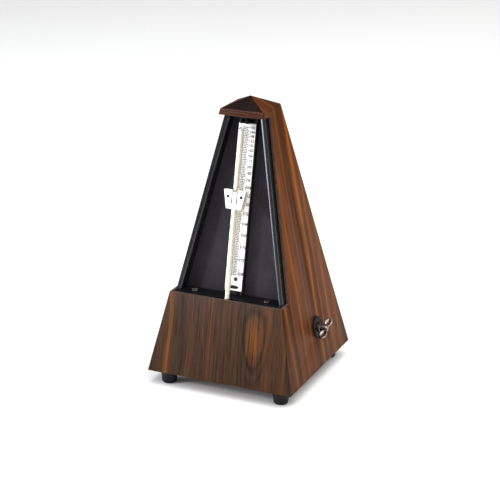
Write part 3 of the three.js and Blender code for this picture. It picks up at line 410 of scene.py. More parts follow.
# Hardened and blued strip: a dark slate blue with paler streaks round the coil.
blued = metal("blued_spring_steel", "#6f7f98", "#3c465a", 0.28, (400, 60, 60))
key_joint = next(joint for joint in frame["joints"] if joint["name"] == "key_wind")
key_axis = np.array(key_joint["pos_m"]) * (0, 1, 1)
low, high = reach("mainspring", X_AXIS)
spring = coil(SPRING_TURNS, SPRING_INNER, SPRING_OUTER, SPRING_STRIP, low, high, key_axis)
stands_for(soften(show("mainspring_coiled", spring), 0.08 * mm, 1), "mainspring", blued)

# ---- Winding arbor ---------------------------------------------------------
# A plain steel shaft across the movement that the key fits on. It is turned, with
# a small rounded edge at each end.

ARBOR = 2 * mm
low, high = reach("winding_arbor", X_AXIS)
steps = [(0, low), (ARBOR, low), (ARBOR, high), (0, high)]
arbor = show("winding_arbor_turned", lathe(steps, ACROSS, key_axis, 48))
stands_for(soften(arbor, 0.3 * mm), "winding_arbor", steel)

# ---- Pendulum --------------------------------------------------------------
# A flat strip of spring steel hangs on a steel staff with a brass hub. A turned
# cast-iron bob sits below the pivot; the rod above it carries the sliding weight.

slide = next(joint for joint in frame["joints"] if joint["name"] == "weight_slide")
swing = next(joint for joint in frame["joints"] if joint["name"] == "pendulum_swing")
UP_SLOPE = np.array(slide["axis"])
OUTWARD = -np.array(swing["axis"])
SLOPE = (X_AXIS, UP_SLOPE, OUTWARD)

# Drawn strip, paler than bare steel, with a cream tint that is a painted warm reflection: fine draw marks run
# along it.
spring_steel = metal("drawn_strip_steel_painted_reflection", "#f3ecd9", "#cdbf9f", 0.34, (2600, 60, 60), 0.01)
NOTCH_PITCH = 2.6 * mm
NOTCH_HALF = 0.32 * mm
NOTCH_DEEP = 0.22 * mm
NOTCHES_FROM = 14 * mm
NOTCHES_RUN = 108 * mm


def notched_strip(node, edge):
    """Strip with shallow sawn notches: a round-cornered section is carried along the slope, and its
    front is lowered by the notch depth wherever the distance from the top falls in a notch."""
    sides = [reach(node, axis) for axis in SLOPE]
    (left, right), (low, high), (rear, front) = sides
    starts = np.arange(high - NOTCHES_FROM, high - NOTCHES_FROM - NOTCHES_RUN, -NOTCH_PITCH)
    steps = starts[:, None] + np.array([1.4, 0.6, -0.6, -1.4]) * NOTCH_HALF
    along = np.concatenate([[high, high - edge], steps.ravel(), [low + edge, low]])
    cut = np.concatenate([[0, 0], np.tile([0, 1, 1, 0], len(starts)), [0, 0]]) * NOTCH_DEEP
    inset = np.zeros(len(along))
    inset[[0, -1]] = edge
    turns = np.radians([180, 225, 270, 270, 315, 360, 0, 45, 90, 90, 135, 180])
    corner_x = np.repeat([left + edge, right - edge, right - edge, left + edge], 3)
    corner_y = np.repeat([rear + edge, rear + edge, front - edge, front - edge], 3)
    across = corner_x + (edge - inset[:, None]) * np.cos(turns)
    outward = corner_y + (edge - inset[:, None]) * np.sin(turns) - cut[:, None] * (np.sin(turns) > 0.5)
    points = np.stack([across, np.broadcast_to(along[:, None], across.shape), outward], 2)
    return grid(points @ np.array(SLOPE), capped=True)


rod = show("pendulum_rod_notched", notched_strip("pendulum_rod", 0.2 * mm))
rod.data.shade_smooth()
rod.data.set_sharp_from_angle(angle=math.radians(35))
stands_for(rod, "pendulum_rod", spring_steel)

IRON = "#5d5e62"
IRON_DARK = "#3a3b3f"
BOB_ROUND = 2.2 * mm
# Sand-cast iron, only turned to size: dark grey, rough and grainy, with hardly a highlight.
iron, tree, shader = finish("cast_iron", metallic=1.0, roughness=0.55)
sand = add(tree, "TexNoise", {"Vector": stretched(tree, (1400,) * 3), "Scale": 1.0, "Detail": 5.0})
tone = add(tree, "ValToRGB", {"Fac": sand.outputs["Fac"]}, [(0.3, IRON_DARK), (0.75, IRON)])
tree.links.new(tone.outputs["Color"], shader.inputs["Base Color"])
relief(tree, shader, sand.outputs["Fac"], 0.12 * mm)


def on_slope(node):
    """Middle of a node across and up the slope, with nothing along the way out."""
    middle = np.array([np.mean(reach(node, axis)) for axis in SLOPE])
    return middle[0] * X_AXIS + middle[1] * UP_SLOPE


low, high = reach("pendulum_bob", OUTWARD)
bob_back = reach("pendulum_rod", OUTWARD)[0]
staff = 1 * mm
bob = (reach("pendulum_bob", X_AXIS)[1] - reach("pendulum_bob", X_AXIS)[0]) / 2
face = bob_back - 0.3 * mm
steps = [(0, low), (3 * mm, low), (3.6 * mm, low + 0.8 * mm)]
steps += curve((bob - BOB_ROUND, low + BOB_ROUND), BOB_ROUND, -90, 0, 9)
steps += curve((bob - BOB_ROUND, face - BOB_ROUND), BOB_ROUND, 0, 90, 9)
steps += [(staff, face), (staff, high), (0, high)]
bob_piece = show("pendulum_bob_turned", lathe(steps, SLOPE, on_slope("pendulum_bob"), 96))
bob_piece.data.shade_smooth()
bob_piece.data.set_sharp_from_angle(angle=math.radians(40))
stands_for(bob_piece, "pendulum_bob", iron)
stands_for(dressed("pallet_staff", 0.06 * mm, 1), "pallet_staff", steel)

HUB_BORE = 1.3 * mm
low, high = reach("pendulum_hub", OUTWARD)
hub = (reach("pendulum_hub", X_AXIS)[1] - reach("pendulum_hub", X_AXIS)[0]) / 2
steps = [(HUB_BORE, low), (hub, low), (hub, high), (HUB_BORE, high)]
hub_piece = show("pendulum_hub_turned", lathe(steps, SLOPE, on_slope("pendulum_hub"), 48, bored=True))
stands_for(soften(hub_piece, 0.25 * mm), "pendulum_hub", brass)

# ---- Sliding weight --------------------------------------------------------
# Two nickelled plates pinch the rod between them, riveted through; two sawn slots
# free a tongue in the front plate whose spring holds the weight where it is set.

# Satin nickel: near white with a wide even glow.
bright_nickel = metal("satin_nickel", "#ffffff", "#f1f0ee", 0.44, (90, 90, 90), 0.004)
stands_for(dressed("weight_front_plate", 0.28 * mm, 3), "weight_front_plate", bright_nickel)
stands_for(dressed("weight_back_plate", 0.2 * mm), "weight_back_plate", bright_nickel)

# Chemically blackened steel: the two rivets read as dark dots on the bright plate.
dark_steel = metal("blackened_steel", "#3b3a3c", "#201f21", 0.4, (900, 900, 900))
RIVET = 0.9 * mm
RIVET_DOME = 1.15 * mm
for side in ("left", "right"):
    node = f"weight_{side}_rivet"
    low, high = reach(node, OUTWARD)
    steps = [(0, low), (RIVET, low), (RIVET, high - 0.3 * mm)]
    steps += [(RIVET_DOME, high - 0.3 * mm), (RIVET_DOME * 0.75, high - 0.1 * mm), (0, high)]
    rivet = show(node + "_headed", lathe(steps, SLOPE, on_slope(node), 32))
    stands_for(soften(rivet, 0.08 * mm), node, dark_steel)

# ---- Case panels -----------------------------------------------------------
# Thin boards faced with walnut veneer, mitred at the corners and satin lacquered.
# The grain runs up the case; the sawn edges round the dial opening are stained grey.

FIBRE_WIDTH = 0.8 * mm
BAND_WIDTH = 10 * mm
FIBRE_RUN = 0.03
SWAY = 4 * mm


def times(tree, left, right, operation="MULTIPLY", **settings):
    """One sum on two values or sockets, a product unless another is named."""
    return add(tree, "Math", {0: left, 1: right}, operation=operation, **settings).outputs[0]


def blended(tree, share, first, second, blend_type="MIX"):
    """A colour made of two, by a share or by the way that is named."""
    mix = add(tree, "Mix", data_type="RGBA", blend_type=blend_type)
    sockets = {socket.identifier: socket for socket in mix.inputs}
    for key, value in (("Factor_Float", share), ("A_Color", first), ("B_Color", second)):
        if isinstance(value, bpy.types.NodeSocket):
            tree.links.new(value, sockets[key])
        else:
            sockets[key].default_value = value
    return next(socket for socket in mix.outputs if socket.identifier == "Result_Color")


def loops(tree, figure, side, up):
    """Two shares for a plain-sawn figure: rings of a long pointed oval, and the warm wood within it."""
    middle, height, half, tall, strength = figure
    wide = times(tree, times(tree, side, middle, "SUBTRACT"), half, "DIVIDE")
    high = times(tree, times(tree, up, height, "SUBTRACT"), tall, "DIVIDE")
    point = {"Value": high, "From Min": -1.5, "From Max": 1.5, "To Min": 1.9, "To Max": 0.75}
    wide = times(tree, wide, add(tree, "MapRange", point).outputs["Result"])
    oval = add(tree, "CombineXYZ", {"X": wide, "Y": high}).outputs["Vector"]
    far = add(tree, "VectorMath", {0: oval}, operation="LENGTH").outputs["Value"]
    ring = times(tree, times(tree, times(tree, far, 1.15, "SUBTRACT"), 10.0), 0.0, "COSINE")
    inside = {"Value": far, "From Min": 0.35, "From Max": 1.1, "To Min": 1.0, "To Max": 0.0}
    heart = add(tree, "MapRange", inside).outputs["Result"]
    begin = {"Value": far, "From Min": 0.7, "From Max": 1.0, "To Min": 0.0, "To Max": -1.0}
    near = {"Value": far, "From Min": 1.0, "From Max": 2.4, "To Min": 1.0, "To Max": 0.0}
    rings = times(tree, add(tree, "MapRange", begin).outputs["Result"], ring)
    rings = times(tree, add(tree, "MapRange", near).outputs["Result"], rings)
    return rings, times(tree, heart, strength)


def walnut(name, tones, warm, streaks, across, turn=(0, 0, 0), place=(0, 0, 0), figure=None):
    """Walnut veneer: soft bands of three tones, fine fibres over them, and warm streaks at listed places.
    across is the axis the bands are spread over; a streak is its place, half its width and strength."""
    material, tree, shader = finish(name, roughness=0.5, ior=1.5, specular_ior_level=0.12)
    where = stretched(tree, (1, 1, 1), turn, place)
    apart = add(tree, "SeparateXYZ", {"Vector": where})
    loose = add(tree, "VectorMath", {0: where, 1: (25, 25, 8)}, operation="MULTIPLY").outputs[0]
    sway = add(tree, "TexNoise", {"Vector": loose, "Scale": 1.0, "Detail": 2.0}).outputs["Fac"]
    shift = add(tree, "MapRange", {"Value": sway, "To Min": -SWAY, "To Max": SWAY}).outputs["Result"]
    side = times(tree, apart.outputs[across], shift, "ADD")
    up = apart.outputs["Z"] if across != "Z" else apart.outputs["X"]
    run = times(tree, up, FIBRE_RUN)
    along = add(tree, "CombineXYZ", {"X": side, "Z": run, "Y": 0.37}).outputs["Vector"]
    soft = {"Vector": along, "Scale": 1 / BAND_WIDTH, "Detail": 3.0, "Roughness": 0.5}
    band = add(tree, "TexNoise", soft).outputs["Fac"]
    fine = {"Vector": along, "Scale": 1 / FIBRE_WIDTH, "Detail": 4.0, "Roughness": 0.65}
    fibre = add(tree, "TexNoise", fine).outputs["Fac"]
    colour = add(tree, "ValToRGB", {"Fac": band}, list(zip((0.36, 0.5, 0.64), tones))).outputs["Color"]
    glow = times(tree, fibre, 0.0)
    for middle, half, strength in streaks:
        share = times(tree, times(tree, side, middle, "SUBTRACT"), half, "DIVIDE")
        sharp = times(tree, times(tree, share, share), 1.0, "ADD")
        glow = times(tree, glow, times(tree, strength, sharp, "DIVIDE"), "ADD")
    shade = [(0.3, "#8f8f8f"), (0.5, "#e0e0e0"), (0.68, "#ffffff")]
    if figure:
        rings, heart = loops(tree, figure, side, up)
        glow = times(tree, glow, heart, "ADD")
        fibre = times(tree, times(tree, rings, 0.08), fibre, "ADD")
    colour = blended(tree, times(tree, glow, 1.0, use_clamp=True), colour, linear(warm))
    dark = add(tree, "ValToRGB", {"Fac": fibre}, shade).outputs["Color"]
    colour = blended(tree, 1.0, colour, dark, "MULTIPLY")
    tree.links.new(colour, shader.inputs["Base Color"])
    rough = add(tree, "MapRange", {"Value": fibre, "To Min": 0.42, "To Max": 0.62}).outputs["Result"]
    tree.links.new(rough, shader.inputs["Roughness"])
    relief(tree, shader, fibre, 0.05 * mm)
    return material


FRONT_TONES = ("#403226", "#503a2b", "#593d2b")
FRONT_WARM = "#8a5527"
FRONT_STREAKS = (
    (-46 * mm, 1.4 * mm, 0.85), (-30 * mm, 1.0 * mm, 0.2), (-12 * mm, 1.0 * mm, 0.3),
    (3 * mm, 0.9 * mm, 0.3), (36 * mm, 1.0 * mm, 0.3), (50 * mm, 1.2 * mm, 0.25),
)
FRONT_FIGURE = (24.5 * mm, 47 * mm, 9.5 * mm, 19 * mm, 0.6)
# These tones are lighter than the front's: painted light for the side faces, which are the same walnut.
SIDE_TONES_PAINTED_LIGHT = ("#44250d", "#643616", "#7d4518")
SIDE_WARM = "#b8701f"
SIDE_STREAKS = (
    (-42 * mm, 1.6 * mm, 0.5), (-31 * mm, 1.0 * mm, 0.35), (-19 * mm, 1.3 * mm, 0.45),
    (-6 * mm, 1.0 * mm, 0.35), (10 * mm, 1.4 * mm, 0.7), (19 * mm, 1.0 * mm, 0.4),
    (30 * mm, 1.3 * mm, 0.6), (43 * mm, 1.2 * mm, 0.5),
)
SIDE_LEAN = (math.radians(2), 0, 0)
REAR_PLACE = (31 * mm, 0, 0)
# Sliced walnut under satin lacquer. The front is cool brown with one warm pointed figure, the sides are
# redder, more striped and lighter, their extra lightness painted light for the side faces; the rear is the front's
# veneer without the figure, moved sideways.
front_wood = (FRONT_TONES, FRONT_WARM, FRONT_STREAKS, "X")
front_walnut = walnut("walnut_veneer_front", *front_wood, figure=FRONT_FIGURE)
side_walnut_painted_light = walnut("walnut_veneer_side_painted_light", SIDE_TONES_PAINTED_LIGHT, SIDE_WARM, SIDE_STREAKS, "Y", turn=SIDE_LEAN)
rear_walnut = walnut("walnut_veneer_rear", *front_wood, place=REAR_PLACE)

EDGE_GREY = "#5a4d48"
EDGE_DARK = "#40352f"
# Saw-cut fibreboard stained grey-brown: matt, with the fine ridges that the blade left.
sawn_edge, tree, shader = finish("stained_sawn_edge", roughness=0.7)
saw = add(tree, "TexNoise", {"Vector": stretched(tree, (900, 900, 120)), "Scale": 1.0, "Detail": 4.0})
tone = add(tree, "ValToRGB", {"Fac": saw.outputs["Fac"]}, [(0.3, EDGE_DARK), (0.7, EDGE_GREY)])
tree.links.new(tone.outputs["Color"], shader.inputs["Base Color"])
relief(tree, shader, saw.outputs["Fac"], 0.06 * mm)

OUTER_FACE = 0.9
SAWN_FACE = 0.55
PANELS = {
    "lower_front_panel": front_walnut,
    "left_side_panel": side_walnut_painted_light,
    "right_side_panel": side_walnut_painted_light,
    "rear_panel": rear_walnut,
}
for node, veneer in PANELS.items():
    panel = stands_for(dressed(node, 0.18 * mm), node, veneer, sawn_edge)
    for face in panel.data.polygons:
        straight = max(abs(face.normal.x), abs(face.normal.y)) > OUTER_FACE
        cut = face.normal.y < -SAWN_FACE and "side" in node
        face.material_index = 1 if cut or not straight else 0

# ---- Dial surround ---------------------------------------------------------
# One black moulding fills the opening: a sunk floor with a fine pebbled texture,
# a raised rib behind the scale, smooth walls with a rounded rim, and a ledge below.

BLACK = "#0c0b0e"
BLACK_WORN = "#141317"
FLOOR = "#251f27"
FLOOR_LIGHT = "#302a32"
PEBBLE = 0.7 * mm

# Gloss moulded plastic: one bright line runs down the rim. Its IOR is set above the 1.5 of real
# plastic, because at 1.5 that line is too faint.
gloss_black, tree, shader = finish("moulded_black_gloss", roughness=0.18, ior=1.75)
cloud = add(tree, "TexNoise", {"Vector": stretched(tree, (160,) * 3), "Scale": 1.0, "Detail": 4.0})
tone = add(tree, "ValToRGB", {"Fac": cloud.outputs["Fac"]}, [(0.35, BLACK), (0.75, BLACK_WORN)])
tree.links.new(tone.outputs["Color"], shader.inputs["Base Color"])
span = add(tree, "MapRange", {"Value": cloud.outputs["Fac"], "To Min": 0.14, "To Max": 0.26})
tree.links.new(span.outputs["Result"], shader.inputs["Roughness"])
relief(tree, shader, cloud.outputs["Fac"], 0.02 * mm)

# The same plastic off a textured mould: a soft dark violet-grey that scatters the light evenly.
pebbled, tree, shader = finish("moulded_black_pebbled", roughness=0.72, ior=1.5)
pebble = add(tree, "TexVoronoi", {"Vector": stretched(tree, (1 / PEBBLE,) * 3), "Scale": 1.0})
drift = add(tree, "TexNoise", {"Vector": stretched(tree, (60, 60, 60)), "Scale": 1.0, "Detail": 5.0})
tone = add(tree, "ValToRGB", {"Fac": drift.outputs["Fac"]}, [(0.35, FLOOR), (0.7, FLOOR_LIGHT)])
tree.links.new(tone.outputs["Color"], shader.inputs["Base Color"])
relief(tree, shader, pebble.outputs["Distance"], 0.12 * mm)

MATT = "#0b0a0c"
MATT_WORN = "#17161a"
# Matt moulded plastic, scuffed where it is dusted: the deepest black here, and it stays flat.
matt_black, tree, shader = finish("moulded_black_matt", roughness=0.5, ior=1.5, specular_ior_level=0.3)
scuff = add(tree, "TexNoise", {"Vector": stretched(tree, (700,) * 3), "Scale": 1.0, "Detail": 5.0})
tone = add(tree, "ValToRGB", {"Fac": scuff.outputs["Fac"]}, [(0.35, MATT), (0.75, MATT_WORN)])
tree.links.new(tone.outputs["Color"], shader.inputs["Base Color"])
relief(tree, shader, scuff.outputs["Fac"], 0.03 * mm)

RIM_FALL = 0.55 * mm
RIM_STRIPS = 14
RIM_BAND = 0.3 * mm
RIM_LONG = 50 * mm
TOP_BAND = 1.6 * mm
FLAT = 0.99
NEARLY_FLAT = 0.95
LEVEL = 0.9
FALL_POWER = 4
FLOOR_THICK = 1.9 * mm
low, high = reach("dial_surround", Z_AXIS)
upper_half = (low + high) / 2
dial_middle = sum(reach("dial_surround", X_AXIS)) / 2
corners = np.array([corner.co for corner in frame["nodes"]["dial_surround"].data.vertices])
rim_face = (corners @ OUTWARD)[corners[:, 2] > (low + high) / 2].max()
floor_face = reach("dial_surround", OUTWARD)[0] + FLOOR_THICK


def crowned(form):
    """Rounds both long rims over towards the dial: a rim's two inner corners sink by the fall, and strips
    run to them as the fourth power of the share across, closed at each end by a flat segment."""
    out = {face: np.dot(face.calc_center_median(), OUTWARD) for face in form.faces}
    rim = [face for face in form.faces if abs(out[face] - rim_face) < RIM_BAND]
    rim = [face for face in rim if np.dot(face.normal, OUTWARD) > FLAT]
    parts = {part for face in rim for part in (face, *face.edges, *face.verts)}
    cut_at = (0, 0, high - TOP_BAND)
    bmesh.ops.bisect_plane(form, geom=list(parts), dist=0.01 * mm, plane_co=cut_at, plane_no=(0, 0, 1))
    share = np.linspace(0, 1, RIM_STRIPS + 1)[1:-1, None]
    for face in list(form.faces):
        on_rim = abs(np.dot(face.calc_center_median(), OUTWARD) - rim_face) < RIM_BAND
        if not on_rim or len(face.verts) != 4 or max(edge.calc_length() for edge in face.edges) < RIM_LONG:
            continue
        ordered = sorted(face.verts, key=lambda corner: (corner.co.z > upper_half, corner.co.x))
        form.faces.remove(face)
        rows = []
        for first, last in (ordered[:2], ordered[2:]):
            on_left = last.co.x < dial_middle
            inner = last if on_left else first
            inner.co = np.array(inner.co) - RIM_FALL * OUTWARD
            inward = share if on_left else 1 - share
            rise = RIM_FALL * (inward - inward ** FALL_POWER)
            start, end = np.array(first.co), np.array(last.co)
            between = start + share * (end - start) + rise * OUTWARD
            rows.append([first, *(form.verts.new(point) for point in between), last])
            form.faces.new(rows[-1])
        for index in range(RIM_STRIPS):
            pair = (rows[0][index], rows[0][index + 1], rows[1][index + 1], rows[1][index])
            form.faces.new(pair)
    return form


surround = show("dial_surround_finished", crowned(flattened("dial_surround")))
stands_for(surround, "dial_surround", gloss_black, pebbled, matt_black)
for face in surround.data.polygons:
    facing = np.dot(face.normal, OUTWARD) > NEARLY_FLAT
    sunk = np.dot(face.center, OUTWARD) < floor_face
    on_ledge = abs(face.normal.z) > LEVEL or np.dot(face.center, OUTWARD) > rim_face + RIM_BAND
    face.material_index = 1 if facing and sunk else 2 if on_ledge else 0
surround.data.shade_smooth()
surround.data.set_sharp_from_angle(angle=math.radians(20))

stands_for(dressed("pendulum_catch", 0.3 * mm), "pendulum_catch", matt_black)

# ---- Scale plate -----------------------------------------------------------
# Thin aluminium enamelled ivory white. Black numerals stand in two columns with a
# tick to each, closer together at the top; small plain bars fill the middle column.

IVORY = "#f4f2ec"
IVORY_AGED = "#e6e0d2"
INK = "#1b1a1c"
# Baked enamel on aluminium: smooth ivory, a touch yellower in patches with age.
enamel, tree, shader = finish("ivory_enamel", roughness=0.35, ior=1.52)
age = add(tree, "TexNoise", {"Vector": stretched(tree, (45, 45, 20)), "Scale": 1.0, "Detail": 4.0})
tone = add(tree, "ValToRGB", {"Fac": age.outputs["Fac"]}, [(0.3, IVORY_AGED), (0.6, IVORY)])
tree.links.new(tone.outputs["Color"], shader.inputs["Base Color"])
relief(tree, shader, age.outputs["Fac"], 0.05 * mm)
stands_for(dressed("scale_plate", 0.15 * mm), "scale_plate", enamel)

# Screen-printed ink: a dry black that is slightly patchy at its thin places.
ink, tree, shader = finish("printing_ink", roughness=0.6)
patchy = add(tree, "TexNoise", {"Vector": stretched(tree, (1200,) * 3), "Scale": 1.0})
tone = add(tree, "ValToRGB", {"Fac": patchy.outputs["Fac"]}, [(0.3, INK), (0.9, "#3a383b")])
tree.links.new(tone.outputs["Color"], shader.inputs["Base Color"])

INK_THICK = 0.03 * mm
plate_left, plate_right = reach("scale_plate", X_AXIS)
plate_low, plate_high = reach("scale_plate", UP_SLOPE)
plate_front = reach("scale_plate", OUTWARD)[1]
plate_middle = (plate_left + plate_right) / 2


def bars(boxes):
    """Thin raised bars of ink, one for each left, low, right and high of the boxes."""
    forms = []
    for left, bottom, right, top in boxes:
        outline = np.array([(left, bottom), (right, bottom), (right, top), (left, top)])
        forms.append(prism(outline, plate_front, plate_front + INK_THICK, SLOPE, 0))
    return merged(*forms)


def printed(name, form):
    """A piece of the printing, which goes with the case."""
    piece = show(name, form)
    piece.data.materials.append(ink)
    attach(piece, "case")
    return piece


TEMPI = [*range(40, 60, 2), *range(60, 72, 3), *range(72, 120, 4), *range(120, 144, 6), *range(144, 209, 8)]
TOP_MARGIN = 3.2 * mm
SCALE_RUN = 109 * mm
EVEN_SHARE = 0.55
COLUMN = 3.1 * mm
RULE = 0.24 * mm
TICK = 0.9 * mm
DIGIT_HIGH = 2.3 * mm
TYPE_SIZE = 1.4
DIGIT_NARROW = 0.85
STROKE_MORE = 0.07 * mm
DIGIT_MIDDLE = 5.05 * mm


def place_of(index):
    """Height of a mark: the gaps widen down the plate with the cube of the share of marks passed."""
    share = index / (len(TEMPI) - 1)
    return plate_high - TOP_MARGIN - SCALE_RUN * (EVEN_SHARE * share + (1 - EVEN_SHARE) * share ** 3)


def numeral(value, middle, height):
    """A numeral as a thin flat form, narrowed, moved to its point of the plate and turned to the slope."""
    text = bpy.data.curves.new("numeral", "FONT")
    text.body = str(value)
    text.size = DIGIT_HIGH * TYPE_SIZE
    text.align_x = "CENTER"
    text.align_y = "CENTER"
    text.extrude = INK_THICK
    text.offset = STROKE_MORE
    text.resolution_u = 2
    made = bpy.data.objects.new("numeral", text)
    bpy.context.scene.collection.objects.link(made)
    flat = bpy.data.meshes.new_from_object(made.evaluated_get(bpy.context.evaluated_depsgraph_get()))
    corners = np.empty(3 * len(flat.vertices), np.float32)
    flat.vertices.foreach_get("co", corners)
    placed = corners.reshape(-1, 3) * (DIGIT_NARROW, 1, 1) + (middle, height, plate_front)
    flat.vertices.foreach_set("co", (placed @ np.array(SLOPE)).astype(np.float32).ravel())
    form = bmesh.new()
    form.from_mesh(flat)
    bpy.data.objects.remove(made)
    bpy.data.meshes.remove(flat)
    return form


numerals, ticks = [], []
for index, value in enumerate(TEMPI):
    side = -1 if index % 2 else 1
    height = place_of(index)
    numerals.append(numeral(value, plate_middle + side * DIGIT_MIDDLE, height))
    ends = sorted((plate_middle + side * COLUMN, plate_middle + side * (COLUMN - TICK)))
    ticks.append((ends[0], height - RULE, ends[1], height + RULE))
printed("scale_numerals", merged(*numerals))
lowest = place_of(len(TEMPI) - 1) - 2.5 * mm
for side in (-1, 1):
    rule = plate_middle + side * COLUMN
    ticks.append((rule - RULE / 2, lowest, rule + RULE / 2, plate_high - 1.5 * mm))
printed("scale_ticks", bars(ticks))

BAR_GAP = 1.25 * mm
BAR_HIGH = 0.8 * mm
dice = np.random.default_rng(5)
tempo = []
for height in np.arange(lowest + 1.2 * mm, plate_high - 3 * mm, BAR_GAP):
    edge = plate_middle - COLUMN + 0.5 * mm
    while edge < plate_middle + COLUMN - 1.9 * mm:
        wide = dice.uniform(0.5, 1.1) * mm
        tempo.append((edge, height, edge + wide, height + BAR_HIGH))
        edge += wide + dice.uniform(0.2, 0.4) * mm
printed("tempo_bars", bars(tempo))

DOT = 1.5 * mm
angle = np.linspace(0, 2 * math.pi, 40, endpoint=False)
dot = np.column_stack([np.cos(angle), np.sin(angle)]) * DOT + (plate_middle + 1.5 * mm, plate_low + 8.8 * mm)
printed("plate_dot", prism(dot, plate_front, plate_front + INK_THICK, SLOPE, 0))

# ---- Roof ------------------------------------------------------------------
# A low pyramid of walnut with a plain fascia over the dial; a plug below it
# holds the four panels together. Its front and rear slopes are darker, as painted shade.

# These tones are darker than the rest of the walnut: painted shade on the front and rear slopes.
ROOF_TONES_PAINTED_SHADE = ("#1e1311", "#281a16", "#33211a")
FASCIA_TONES = ("#452d25", "#5a3a2d", "#6b4431")
# Painted shade over the dial: a darker walnut for the slopes facing front and rear; and a reddish strip with its
# grain lying across for the fascia.
roof_walnut_painted_shade = walnut("walnut_roof_painted_shade", ROOF_TONES_PAINTED_SHADE, "#4a2e20", ((2 * mm, 1.0 * mm, 0.3),), "X")
fascia_walnut = walnut("walnut_fascia", FASCIA_TONES, "#8a5a38", (), "Z")
roof = stands_for(dressed("roof_cap", 0.18 * mm), "roof_cap", roof_walnut_painted_shade, side_walnut_painted_light, fascia_walnut)
# Sideways slopes take the lighter side walnut (painted light), front and rear slopes the darker one (painted
# shade), steep faces the fascia.
for face in roof.data.polygons:
    if abs(face.normal.x) > abs(face.normal.y):
        face.material_index = 1
    elif face.normal.z < 0.6:
        face.material_index = 2

# ---- Key and escutcheon ----------------------------------------------------
# A cast butterfly key, nickelled, bored to fit the end of the winding arbor; light and dark patches over it
# are painted highlights and painted dark reflections. It stands out of a round black moulding pressed into the
# side panel.

panel_lean = math.atan2(
    reach("right_side_panel", X_AXIS)[1] - reach("roof_cap", X_AXIS)[1],
    reach("roof_cap", Z_AXIS)[0] - reach("right_side_panel", Z_AXIS)[0],
)
SIDE_OUT = np.array([math.cos(panel_lean), 0, math.sin(panel_lean)])
SIDE_UP = np.array([-math.sin(panel_lean), 0, math.cos(panel_lean)])
ON_SIDE = (Y_AXIS, SIDE_UP, SIDE_OUT)
KEY_HOLE = 3.9 * mm
ring_centre = centre_of("key_escutcheon")
across = np.array([np.dot(ring_centre, axis) for axis in ON_SIDE])
middle = across[0] * Y_AXIS + across[1] * SIDE_UP
low, high = reach("key_escutcheon", SIDE_OUT)
ring = (reach("key_escutcheon", Y_AXIS)[1] - reach("key_escutcheon", Y_AXIS)[0]) / 2
RING_ROUND = 0.7 * mm
RING_LIP = 1.6 * mm
LIP_SLOPE = 0.4 * mm
DISH = 0.35 * mm
HOLE_SLOPE = 0.8 * mm
steps = [(KEY_HOLE, low), (ring, low)]
steps += curve((ring - RING_ROUND, high - RING_ROUND), RING_ROUND, 0, 90)
steps += [(ring - RING_LIP, high), (ring - RING_LIP - LIP_SLOPE, high - DISH)]
steps += [(KEY_HOLE + HOLE_SLOPE, high - DISH), (KEY_HOLE, high - 2 * DISH)]
ring_piece = show("key_escutcheon_moulded", lathe(steps, ON_SIDE, middle, 80, bored=True))
ring_piece.data.shade_smooth()
ring_piece.data.set_sharp_from_angle(angle=math.radians(40))
stands_for(ring_piece, "key_escutcheon", matt_black)

KEY_TURN = math.radians(29)
KEY_BARREL = 3 * mm
WING_FROM_END = 3.2 * mm
WING_OFF = 5.8 * mm
WING_HALF = (3.2 * mm, 4.6 * mm)
EYE_HALF = (0.8 * mm, 1.4 * mm)
WING_THICK = 1.8 * mm
ALONG_WING = np.array([0, math.cos(KEY_TURN), math.sin(KEY_TURN)])
THROUGH_WING = np.array([0, -math.sin(KEY_TURN), math.cos(KEY_TURN)])


def wing(side, end):
    """Loop of a wing: an oval path carries a closed profile, full at the rim and thin at the eye."""
    turn = np.linspace(0, 2 * math.pi, 64, endpoint=False)
    profile = np.linspace(0, 2 * math.pi, 20, endpoint=False)
    share = 0.5 + 0.5 * np.cos(profile)
    share = share ** 0.8
    half = np.sin(profile) * WING_THICK / 2 * (0.35 + 0.65 * share)
    wide = EYE_HALF[0] + (WING_HALF[0] - EYE_HALF[0]) * share
    tall = EYE_HALF[1] + (WING_HALF[1] - EYE_HALF[1]) * share
    out = end - WING_FROM_END + wide[:, None] * np.cos(turn)
    along = side * WING_OFF + tall[:, None] * np.sin(turn)
    thick = np.broadcast_to(half[:, None], out.shape)
    points = np.stack([out, along, thick], 2) @ np.array([X_AXIS, ALONG_WING, THROUGH_WING])
    return grid(points + key_axis, along=True)


key_low, key_high = reach("winding_key", X_AXIS)
TIP_BACK = 1.4 * mm
BORE = ARBOR + 0.3 * mm
BORE_DEEP = 4.5 * mm
COLLAR = 2.2 * mm
COLLAR_SLOPE = 0.4 * mm
NECK = KEY_BARREL - 0.5 * mm
NECK_END = 1.5 * mm
NOSE = 1.0 * mm
tip = key_high - TIP_BACK
steps = [(0, key_low + BORE_DEEP), (BORE, key_low + BORE_DEEP), (BORE, key_low)]
steps += [(KEY_BARREL, key_low), (KEY_BARREL, key_low + COLLAR)]
steps += [(NECK, key_low + COLLAR + COLLAR_SLOPE), (NECK, tip - NECK_END)]
steps += curve((NECK - NOSE, tip - NOSE), NOSE, 0, 90, 5) + [(0, tip)]
# Nickel over a casting: its bright patches are painted highlights and its brown-black patches painted dark
# reflections, spread at random over it.
key_metal_painted_light = metal("nickel_painted_highlights", "#b5aea6", "#38332f", 0.24, (260, 260, 260), 0.03)
key_form = merged(lathe(steps, ACROSS, key_axis, 48), wing(-1, key_high), wing(1, key_high))
key = show("winding_key_cast", key_form)
key.data.shade_smooth()
key.data.set_sharp_from_angle(angle=math.radians(40))
stands_for(key, "winding_key", key_metal_painted_light)

# ---- Floor, light and camera -----------------------------------------------
# A plain white sweep and four lamps: a wide softbox overhead, a cool strip on the left that
# draws the line down the dial's rim, a small key lamp for the weight's shadow, a right fill.

